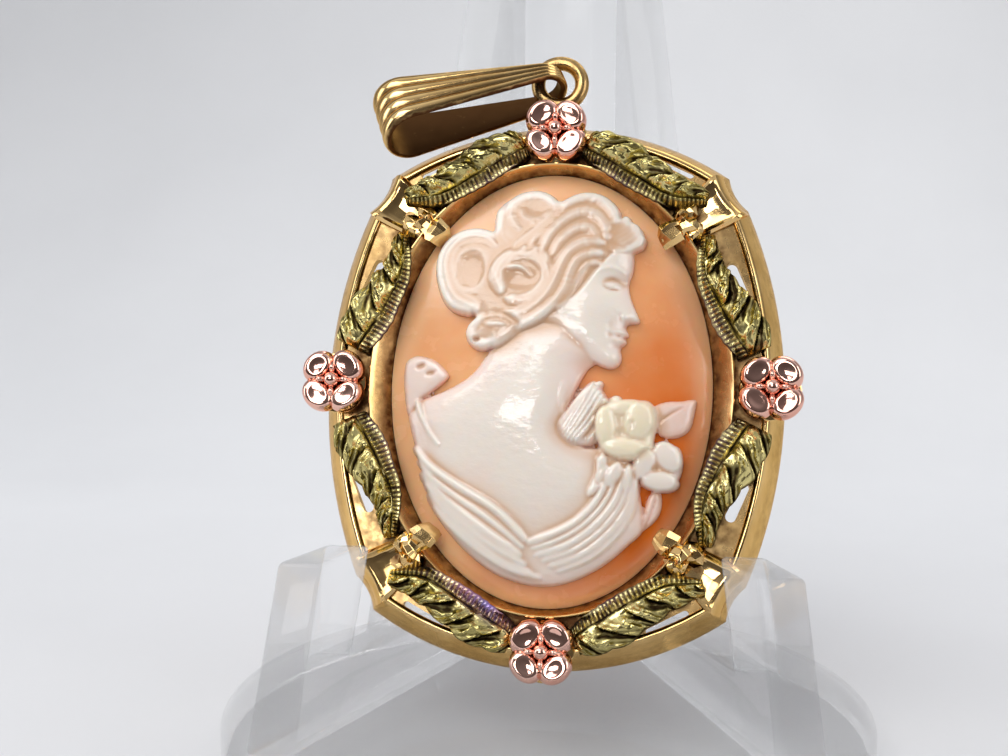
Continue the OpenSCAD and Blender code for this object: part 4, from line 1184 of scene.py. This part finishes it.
# %% Hair
HAIR_MASS = [(-4.1, 3.63), (-5.45, 4.32), (-6.13, 5.72), (-6.23, 7.14), (-5.73, 8.17), (-4.63, 8.64),
             (-3.36, 8.5), (-3.1, 9.87), (-2.44, 10.48), (-1.55, 10.79), (-0.5, 10.71), (0.49, 10.34),
             (1.45, 10.71), (2.41, 10.72), (3.25, 10.25), (3.65, 9.47), (4.23, 9.33), (4.99, 8.7),
             (5.1, 7.92), (4.81, 7.5), (3.45, 7.21), (2.65, 6.36), (1.59, 4.95), (0.25, 3.68),
             (-1.37, 2.69), (-2.72, 1.84), (-3.55, 1.94), (-4.42, 2.23), (-4.55, 2.79), (-4.02, 3.35)]
HAIR_ROLLS = [
    ([(-4.11, 4.05), (-5.25, 4.67), (-5.81, 5.87), (-5.9, 7.0), (-5.41, 7.86), (-4.54, 8.22), (-3.63, 8.09),
      (-3.05, 7.59)], (0.71, 0.55), 1.05, 3),
    ([(-2.62, 4.91), (-2.96, 5.75), (-2.71, 6.53), (-1.99, 7.0), (-1.02, 7.01), (-0.27, 6.41),
      (-0.13, 5.57), (-0.61, 4.79), (-1.42, 4.36), (-2.26, 4.49)], (0.49, 0.47), 1.25, 3),
    ([(-0.11, 6.62), (-0.68, 7.18), (-1.44, 7.32), (-2.06, 7.1), (-2.46, 6.6)], (0.36, 0.27), 1.26, 2),
    ([(-4.02, 7.23), (-4.85, 7.08), (-5.15, 6.23), (-4.92, 5.31), (-4.07, 4.83)], (0.36, 0.27), 1.0, 2),
    ([(-2.41, 6.25), (-1.87, 6.35), (-1.36, 6.1), (-1.02, 5.69)], (0.21, 0.11), 1.22, 1),
    ([(-1.83, 8.52), (-2.29, 9.23), (-2.26, 10.05), (-1.68, 10.52), (-0.77, 10.62), (-0.09, 10.24),
      (-0.02, 9.6), (-0.52, 9.1), (-1.14, 8.81)], (0.41, 0.33), 1.05, 3),
    ([(-0.73, 8.95), (-1.5, 9.31), (-1.52, 9.88), (-0.9, 10.02), (-0.58, 9.67)], (0.27, 0.19), 1.0, 2),
    ([(-2.91, 9.8), (-2.98, 8.94), (-2.84, 8.02), (-2.21, 7.45)], (0.33, 0.36), 0.95, 2),
    ([(-1.23, 7.32), (-0.84, 8.17), (-0.17, 9.1), (0.7, 10.03), (1.66, 10.49), (2.63, 10.35), (3.3, 9.68),
      (3.49, 8.76)], (0.36, 0.47), 1.15, 3),
    ([(-0.54, 7.11), (-0.15, 8.1), (0.52, 8.96), (1.41, 9.53), (2.3, 9.46), (2.87, 8.83),
      (3.0, 8.05)], (0.36, 0.41), 1.22, 3),
    ([(0.09, 6.98), (0.55, 7.9), (1.29, 8.54), (2.05, 8.61), (2.58, 8.12)], (0.36, 0.38), 1.2, 3),
    ([(-2.07, 7.31), (-1.53, 7.88), (-0.72, 8.6), (-0.04, 9.31), (0.49, 10.17)], (0.33, 0.3), 1.08, 2),
    ([(2.75, 7.77), (1.93, 7.76), (1.12, 7.33), (0.59, 6.49), (0.23, 5.5), (-0.35, 4.51), (-1.13, 3.88),
      (-2.22, 3.44), (-3.32, 3.22)], (0.41, 0.47), 1.3, 3),
    ([(2.77, 7.13), (2.08, 7.13), (1.43, 6.75), (1.04, 6.0), (0.76, 5.08), (0.16, 4.24), (-0.71, 3.53),
      (-1.66, 2.96)], (0.36, 0.41), 1.25, 3),
    ([(2.71, 6.57), (2.16, 6.57), (1.76, 6.21), (1.43, 5.58), (1.07, 4.74),
      (0.4, 3.96)], (0.27, 0.25), 1.08, 2),
    ([(3.22, 8.41), (3.76, 8.76), (4.1, 9.19), (3.89, 9.4)], (0.36, 0.25), 0.95, 2),
    ([(3.64, 7.77), (4.19, 8.13), (4.59, 8.62), (4.44, 8.98)], (0.36, 0.27), 0.95, 2),
    ([(3.17, 7.49), (3.72, 7.42), (4.47, 7.61), (4.91, 7.99), (4.96, 8.32)], (0.3, 0.25), 0.9, 2),
    ([(-1.66, 2.96), (-2.57, 3.48), (-3.54, 3.41), (-4.21, 2.93), (-4.19, 2.37), (-3.69, 1.99),
      (-3.12, 2.11), (-2.95, 2.5), (-3.31, 2.73)], (0.41, 0.27), 0.95, 3)]
hair_depth = outline_depth(HAIR_MASS)
lay(hair_depth, 0.60 + 0.34 * pillow(hair_depth, 0.9))
for path, (start_half, end_half), crest, strands in HAIR_ROLLS:
    depth, t, s = stroke(path, start_half, end_half)
    combed = 0.5 - 0.5 * np.cos(np.pi * (t + 1) * strands)
    finer = 0.5 - 0.5 * np.cos(np.pi * (t + 1) * strands * 3.0 + 1 + 2.0 * np.sin(3 * s))
    round_back = np.sqrt(np.clip(1 - t * t, 0, 1))
    level = 1.0 + 0.45 * (crest - 1.0)
    lay(depth, level * (0.86 + 0.14 * round_back) - 0.045 * (1 - combed) * round_back - 0.032 * finer,
        soft=0.15)
in_hair = ramp(hair_depth + 0.1, 0.3)
carved = carved + in_hair * (soften(carved) - carved)
print("locks:", len(HAIR_ROLLS))

# %% [markdown]
# ### Dress, ruffle, roses and leaves
# The dress crosses the bust in fine folds that run together. A few drawn folds guide it, and more
# are spaced between them. At the throat a ruffle fans out behind a cream rose, with a small flower,
# leaves and a long leaf tip that is carved so thin that it looks pink.

# %% Folds and ruffle
DRAPE_FOLDS = [
    ([(-7.32, -3.63), (-6.35, -4.63), (-4.8, -5.64), (-2.99, -6.64), (-1.88, -7.52),
      (-0.97, -8.46)], (0.27, 0.3), 1.02),
    ([(-6.88, -5.05), (-5.73, -6.17), (-4.19, -7.35), (-2.66, -8.37), (-1.28, -9.26)], (0.33, 0.36), 0.98),
    ([(-6.42, -6.19), (-5.2, -7.51), (-3.73, -8.67), (-2.21, -9.69), (-0.72, -10.24)], (0.36, 0.38), 0.9),
    ([(-5.82, -7.52), (-4.41, -8.83), (-2.88, -9.91), (-1.25, -10.52), (0.36, -10.67)], (0.33, 0.36), 0.74),
    ([(-0.83, -8.59), (0.3, -8.18), (1.55, -7.52), (2.56, -6.56), (3.15, -5.48),
      (3.31, -4.47)], (0.27, 0.25), 1.04),
    ([(-0.41, -9.24), (1.11, -8.73), (2.53, -7.76), (3.57, -6.53), (4.04, -5.45),
      (4.16, -4.51)], (0.3, 0.27), 1.02),
    ([(0.34, -9.81), (1.99, -9.17), (3.36, -8.07), (4.27, -6.85), (4.62, -5.71),
      (4.65, -4.77)], (0.3, 0.27), 0.94),
    ([(1.16, -10.38), (2.86, -9.53), (4.16, -8.33), (4.83, -7.1), (5.07, -5.96),
      (5.09, -5.16)], (0.27, 0.25), 0.82)]
ARM_FOLD = ([(-7.21, -1.08), (-6.9, -1.9), (-6.42, -2.78), (-5.84, -3.52)], (0.21, 0.11), 0.92)
THROAT_FOLD = ([(2.38, -5.96), (2.77, -5.35), (3.02, -4.61), (3.03, -3.94)], (0.22, 0.33), 1.02)
RUFFLE = [
    ([(0.68, -2.36), (1.1, -1.74), (1.59, -0.98), (2.17, -0.3)], (0.1, 0.16), 0.8),
    ([(0.88, -2.78), (1.45, -1.94), (2.0, -0.98), (2.49, -0.05)], (0.1, 0.16), 0.92),
    ([(1.14, -3.11), (1.78, -2.21), (2.34, -1.31), (2.84, -0.47)], (0.1, 0.16), 0.98),
    ([(1.56, -3.19), (2.17, -2.47), (2.69, -1.71), (3.18, -0.89)], (0.1, 0.16), 1.0),
    ([(2.24, -3.17), (2.63, -2.66), (3.05, -1.98), (3.45, -1.3)], (0.11, 0.16), 1.0)]
RUFFLE_BED = [(0.52, -2.5), (0.93, -1.68), (1.52, -0.78), (2.06, -0.13), (2.51, 0.13), (2.93, -0.28),
              (3.42, -1.02), (3.63, -1.42), (3.37, -2.04), (2.98, -2.72), (2.52, -3.34), (1.52, -3.46),
              (0.9, -3.11)]


def lay_roll(path, halves, crest, rise, soft, rounding=0.22, smooth=True):
    """A stroke with a round back that climbs to its crest by a rise along it."""
    depth, t, s = stroke(path, *halves, smooth=smooth)
    lay(depth, crest * (1 - rise * (1 - s) - rounding * (1 - np.cos(t * np.pi / 2))), soft)


for group in (DRAPE_FOLDS[:4], DRAPE_FOLDS[4:]):
    for number, (first, second) in enumerate(zip(group[:-1], group[1:])):
        for place, (path, halves, crest) in enumerate(between(first, second, 2)):
            depth, t, s = stroke(path, *[half * (1.0 - 0.25 * place) for half in halves], smooth=False)
            tall = 0.17 if number + place == 0 else 0.10
            rise = tall * np.cos(t * np.pi / 2) ** 1.5 * np.clip(5 * s, 0.3, 1)
            lay(depth, carved * 0.55 + 0.414 * crest + rise - 0.02, soft=0.14, over=False)
lay_roll(*THROAT_FOLD, rise=0, soft=0.08, rounding=0.16)
bed = outline_depth(RUFFLE_BED)
lay(bed, 0.34 + 0.30 * pillow(bed, 0.35), soft=0.10)
for first, second in zip(RUFFLE[:3], RUFFLE[1:4]):
    for path, halves, crest in between(first, second, 2):
        lay_roll(path, halves, crest, rise=0.12, soft=0.05, smooth=False)
for fold in (RUFFLE[3], RUFFLE[4], ARM_FOLD):
    lay_roll(*fold, rise=0.10, soft=0.05)

# %% Leaves, petals and hollows
PINK_LEAF = [(5.7, -1.18), (6.43, -0.84), (7.16, -0.77), (7.95, -0.65), (7.93, -1.27), (7.65, -2.29),
             (6.99, -2.75), (6.12, -2.74), (5.78, -1.99)]
ROSE_BED = [(2.56, -1.71), (2.95, -1.16), (3.68, -0.88), (4.76, -0.79), (5.63, -1.11), (5.94, -1.85),
            (5.82, -2.66), (5.67, -3.61), (5.02, -4.09), (3.95, -4.16), (3.14, -3.8), (2.67, -3.13),
            (2.46, -2.33)]
SMALL_BED = [(4.82, -4.1), (5.54, -3.48), (6.4, -3.12), (7.13, -3.31), (7.35, -4.11), (7.15, -4.98),
             (6.63, -5.66), (5.84, -5.74), (5.24, -5.36), (4.89, -4.76)]
LOW_LEAF = [(5.11, -7.91), (5.17, -7.09), (5.47, -6.02), (5.86, -5.64), (6.21, -6.0), (6.12, -6.86),
            (5.6, -7.54)]
PETALS = [  # centre, half length, half width, direction and crest
    ((3.68, -0.88), 0.36, 0.25, 10, 0.78), ((2.76, -0.12), 0.3, 0.22, 40, 0.8),
    ((2.98, -4.93), 0.68, 0.23, 66, 0.98), ((4.37, -5.06), 0.85, 0.26, 84, 1.0),
    ((3.59, -4.89), 0.79, 0.41, 60, 1.06), ((3.95, -1.37), 0.9, 0.44, 8, 1.04),
    ((4.98, -1.92), 1.15, 0.85, 66, 1.18), ((3.19, -2.37), 1.1, 0.59, 97, 1.13),
    ((4.31, -3.53), 1.34, 0.58, -7, 1.2), ((4.42, -2.4), 0.47, 0.18, 62, 1.06),
    ((6.5, -3.8), 0.96, 0.71, -48, 0.92), ((5.23, -4.29), 0.9, 0.6, 64, 0.9),
    ((6.1, -5.18), 1.1, 0.58, -4, 0.94)]
HOLLOWS = [((-4.47, 6.23), 0.9, 1.18, 0, 0.14), ((-1.6, 5.62), 0.9, 0.68, 10, 0.17),
           ((-3.95, 2.24), 0.27, 0.18, 10, 0.34), ((-7.07, 0.91), 0.33, 0.18, 20, 0.22),
           ((-6.47, 0.5), 0.36, 0.16, 12, 0.2), ((-1.1, 9.74), 0.74, 0.55, 0, 0.08),
           ((3.89, -2.7), 0.33, 0.3, 0, 0.1), ((5.85, -4.49), 0.27, 0.22, 0, 0.1)]
THIN_LEAVES = [(PINK_LEAF, [(5.98, -1.99), (6.57, -1.5), (7.3, -1.08)], 0.24),
               (LOW_LEAF, [(5.34, -7.61), (5.66, -6.81), (5.91, -6.01)], 0.26)]  # edge, rib and crest
for leaf_edge, rib, crest in THIN_LEAVES:
    depth = outline_depth(leaf_edge)
    rib_depth, t = stroke(rib, 0.16, 0.05)[:2]
    lay(depth, 0.20 + crest * pillow(depth, 0.5)
        - np.where(rib_depth > 0, 0.15 * np.cos(t * np.pi / 2) ** 2, 0))
for edge, crest, tint in ((ROSE_BED, 0.90, 1.0), (SMALL_BED, 0.70, 0.0)):
    depth = outline_depth(edge)
    lay(depth, crest * (0.55 + 0.45 * pillow(depth, 0.6)), soft=0.06)
    cream = np.maximum(cream, tint * ramp(depth + 0.25, 0.5))
for (x, y), half_length, half_width, degrees, crest in PETALS:
    depth, k = oval_depth(x, y, half_length, half_width, degrees)
    a = math.radians(degrees)
    tip = ((SPOTS[:, 0] - x) * math.cos(a) + (SPOTS[:, 1] - y) * math.sin(a)) / half_length
    lay(depth, crest * (0.76 + 0.24 * np.sqrt(np.clip(1 - k * k, 0, 1))) + 0.05 * tip, soft=0.05)
for (x, y), half_length, half_width, degrees, deep in HOLLOWS:
    k = oval_depth(x, y, half_length, half_width, degrees)[1]
    carved -= deep * np.clip(1 - k * k, 0, 1) ** 0.8
print("height of the carving", carved.max().round(2), "mm")

# %% [markdown]
# ### From heights to a mesh
# The grid is cut along the edge of the carving: each square that is partly inside is kept, and its
# outside corners are drawn in to the edge. A second sheet just over the ground closes it below. The
# value hollow tells where the carving lies below its surroundings: there it is painted warmer and
# darker, painted shade that also stands for the orange showing through where the shell is thinner.
# All of the hair below its crests gets the same painted shade, so only its crests stay white.


# %% Mesh of the carving
EDGE_H, UNDER, MARGIN = 0.17, 0.02, 0.55  # height at the edge, gap below, and orange left at the rim
bounded = np.minimum(carved, EDGE_H + 1.25 * pillow(covered, 0.9))
surface_h = soften(np.maximum(bounded, EDGE_H))
inside_rim = (SPOTS[:, 0] / (SHELL_A - MARGIN)) ** 2 + (SPOTS[:, 1] / (SHELL_B - MARGIN)) ** 2
covered = np.minimum(covered, (1 - np.sqrt(inside_rim)) * SHELL_A)
slope_y, slope_x = np.gradient(covered.reshape(grid_x.shape), STEP)
slope = np.stack([slope_x.ravel(), slope_y.ravel()], axis=1)
outside = covered <= 0
pull = -covered[:, None] * slope / np.maximum(np.sum(slope**2, axis=1), 0.05)[:, None]
places = SPOTS + np.where(outside[:, None], np.clip(pull, -STEP, STEP), 0)
surface_h = np.where(outside, EDGE_H, surface_h)

columns = grid_x.shape[1]
corner = np.arange(len(SPOTS)).reshape(grid_x.shape)
quads = np.stack([corner[:-1, :-1], corner[:-1, 1:], corner[1:, 1:], corner[1:, :-1]],
                 axis=2).reshape(-1, 4)
quads = quads[(covered[quads] > 0).any(axis=1)]
used, quads = np.unique(quads, return_inverse=True)
quads = quads.reshape(-1, 4)
base = dome_height(*places[used].T)
top = np.column_stack([places[used], base + surface_h[used]])
under = np.column_stack([places[used], base + UNDER])
order = np.concatenate([quads[:, pair] for pair in ([0, 1], [1, 2], [2, 3], [3, 0])])
first, times = np.unique(np.sort(order, axis=1), axis=0, return_index=True, return_counts=True)[1:]
rim_edges = order[first[times == 1]]
count = len(used)
faces = quads.tolist() + (quads[:, ::-1] + count).tolist()
faces += [[b, a, a + count, b + count] for a, b in rim_edges.tolist()]
carving = make_piece("carved_bust", stand(np.concatenate([top, under])), faces, white_shell,
                     ["cameo_relief"],
                     crease=55, merge=False)
# Painted shade: warmer and darker in the hollows, where it also stands for the orange through thinner
# shell, and on the hair below its crests.
hollow = np.maximum(ramp(soften(surface_h, 60) - surface_h, 0.06) * ramp(covered, 0.2),
                    ramp(soften(surface_h, 260) - surface_h, 0.13) * ramp(covered, 0.6))
crest_free = np.clip(0.85 - (surface_h - soften(surface_h, 40)) / 0.08, 0.05, 1)
hollow = soften(np.maximum(hollow * (1 - 0.6 * cream), crest_free * in_hair * ramp(covered, 0.3)))
mark(carving, thickness=np.tile(surface_h[used], 2), cream=np.tile(cream[used] * 0.75, 2),
     hollow=np.tile(hollow[used], 2))

# %% [markdown]
# ## The easel
# The easel is cut and bent from clear sheet on a round foot. Its solids have the right shape, but
# their edges are dead sharp, and clear plastic is seen by its edges. So both are copied from their
# solids, their flat faces are joined up, and every edge gets a small polished bevel.


# %% Easel
FLAT, SHARP = math.radians(1), math.radians(25)  # angles between faces of one flat side, and at an edge


def polished_copy(node, name, width):
    """A copy of a solid with its flat faces joined and its edges rounded."""
    mesh = bpy.data.meshes.new(name)
    work = bmesh.new()
    work.from_mesh(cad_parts[node].data)
    bmesh.ops.remove_doubles(work, verts=work.verts, dist=10 * WELD)
    bmesh.ops.dissolve_limit(work, angle_limit=FLAT, verts=work.verts, edges=work.edges)
    sharp = [e for e in work.edges if len(e.link_faces) == 2 and e.calc_face_angle(0) > SHARP]
    bmesh.ops.bevel(work, geom=sharp, offset=width * MM, segments=3, profile=0.5, affect="EDGES",
                    clamp_overlap=True)
    work.to_mesh(mesh)
    work.free()
    dress(mesh, clear_acrylic, "pendant_on_easel", [node], crease=32)


polished_copy("easel_foot", "clear_foot", 0.35)
polished_copy("easel_back", "clear_sheet", 0.28)

# %% [markdown]
# ## Floor and light
# The photo was taken on pale paper that curves up behind, in soft daylight. Polished gold only shows
# what is around it, so the light is a few large soft panels, with the darker side towards the
# camera, which gives the metal its deep brown reflections between bright bands.

# %% Paper sweep
def paper_finish():
    """Matt paper, a little mottled, and painted greyer towards the front: painted shade."""
    finish, tree, surface = new_finish("pale_paper")
    tone = mix_colour(tree, spread(tree, noise(tree, 30.0, 5), 0, 1), (0.76, 0.77, 0.79, 1),
                      (0.80, 0.81, 0.83, 1))
    place = place_xyz(tree)
    # Painted shade: greyer towards the front of the paper, near the camera.
    tone = mix_colour(tree, spread(tree, place[1], 1, 0, -40 * MM, 50 * MM), tone, (0.60, 0.60, 0.615, 1))
    fill(surface, Base_Color=tone, Roughness=0.75)
    add_bump(tree, surface, noise(tree, 0.5, 4), 0.01)
    return finish


CURVE_Y, CURVE_R = 60, 90
curve = [(CURVE_Y + CURVE_R * math.sin(a), CURVE_R - CURVE_R * math.cos(a))
         for a in np.linspace(0.12, 1.45, 12)]
sweep = [(-42, 0), (0, 0), (CURVE_Y, 0), *curve, (152, 160), (156, 500)]
points = np.array([[x, y, z] for y, z in sweep for x in (-500, 500)]) * MM
mesh = bpy.data.meshes.new("paper_sweep")
mesh.from_pydata(points.tolist(), [], grid_faces(len(sweep), 2, wrap_columns=False))
mesh.shade_smooth()
mesh.materials.append(paper_finish())
paper = bpy.data.objects.new("paper_sweep", mesh)
bpy.context.collection.objects.link(paper)
paper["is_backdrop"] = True


# %% Light panels and sky
MIDDLE = (0, 0, 20)
PANELS = {  # place and size in millimetres, watts and colour
    "window_above": ((-60, -90, 150), (150, 90), 0.155, (1.0, 0.99, 0.97)),
    "window_right": ((150, -70, 70), (70, 120), 0.07, (1.0, 0.98, 0.95)),
    "window_left": ((-160, -20, 60), (60, 110), 0.05, (0.95, 0.97, 1.0)),
    "behind": ((40, 120, 150), (140, 80), 0.09, (1, 1, 1)),
    "window_front": ((-36, -172, 74), (84, 32), 0.062, (1, 1, 1)),
    "window_high": ((-26, -165, 128), (44, 28), 0.014, (1, 1, 1))}
for name, (place, size, watts, colour) in PANELS.items():
    light = bpy.data.lights.new(name, "AREA")
    light.shape, light.size, light.size_y = "RECTANGLE", size[0] * MM, size[1] * MM
    light.energy, light.color = watts, colour
    holder = bpy.data.objects.new(name, light)
    holder.location = Vector(place) * MM
    holder.rotation_euler = (Vector(MIDDLE) - Vector(place)).to_track_quat("-Z", "Y").to_euler()
    bpy.context.collection.objects.link(holder)
print("light panels:", len(PANELS))

sky = bpy.data.worlds.new("room")
sky.use_nodes = True
tree = sky.node_tree
view = place_xyz(tree, "Generated")
front = spread(tree, view[1], 0.16, 1.0, -0.75, 0.1)
up = spread(tree, view[2], 0.35, 1.0, -0.2, 0.6)
glow = mix_colour(tree, combine(tree, "MULTIPLY", front, up), (0.045, 0.035, 0.03, 1), (0.93, 0.95, 1.0, 1))
fill(tree.nodes["Background"], Color=glow, Strength=0.85)
bpy.context.scene.world = sky
bpy.context.scene.view_settings.view_transform = "Standard"

# %% [markdown]
# ## Camera
# The camera stands a little to the right of the pendant and just above it, with a lens of about
# 49 mm. These numbers come from matching the flowers, the foot and the easel's edges to the photo.

# %% Camera
CAMERA_PLACE, CAMERA_TURN, CAMERA_DOWN, CAMERA_ROLL = (5.63, -72.94, 29.99), 6.3, 7.69, 0.1
lens = bpy.data.cameras.new("photo_camera")
lens.lens, lens.sensor_width, lens.clip_start = 48.61, 36.0, 0.001
camera = bpy.data.objects.new("photo_camera", lens)
camera.location = Vector(CAMERA_PLACE) * MM
turn, down = math.radians(CAMERA_TURN), math.radians(CAMERA_DOWN)
ahead = Vector((-math.sin(turn) * math.cos(down), math.cos(turn) * math.cos(down), -math.sin(down)))
roll = Quaternion((0, 0, 1), math.radians(CAMERA_ROLL))
camera.rotation_euler = (ahead.to_track_quat("-Z", "Y") @ roll).to_euler()
bpy.context.collection.objects.link(camera)
bpy.context.scene.camera = camera

# %% [markdown]
# ## Size of the boxes
# The dressed part must keep the size of its solids, so both boxes are measured and their sizes
# printed.

# %% Finish
dressed_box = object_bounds()
sizes = {"solids": [list(map(float, corner)) for corner in solid_box],
         "dressed": [list(map(float, corner)) for corner in dressed_box]}
for name, (low, high) in sizes.items():
    print(name, "box in millimetres", np.round((np.array(high) - low) / MM, 2))
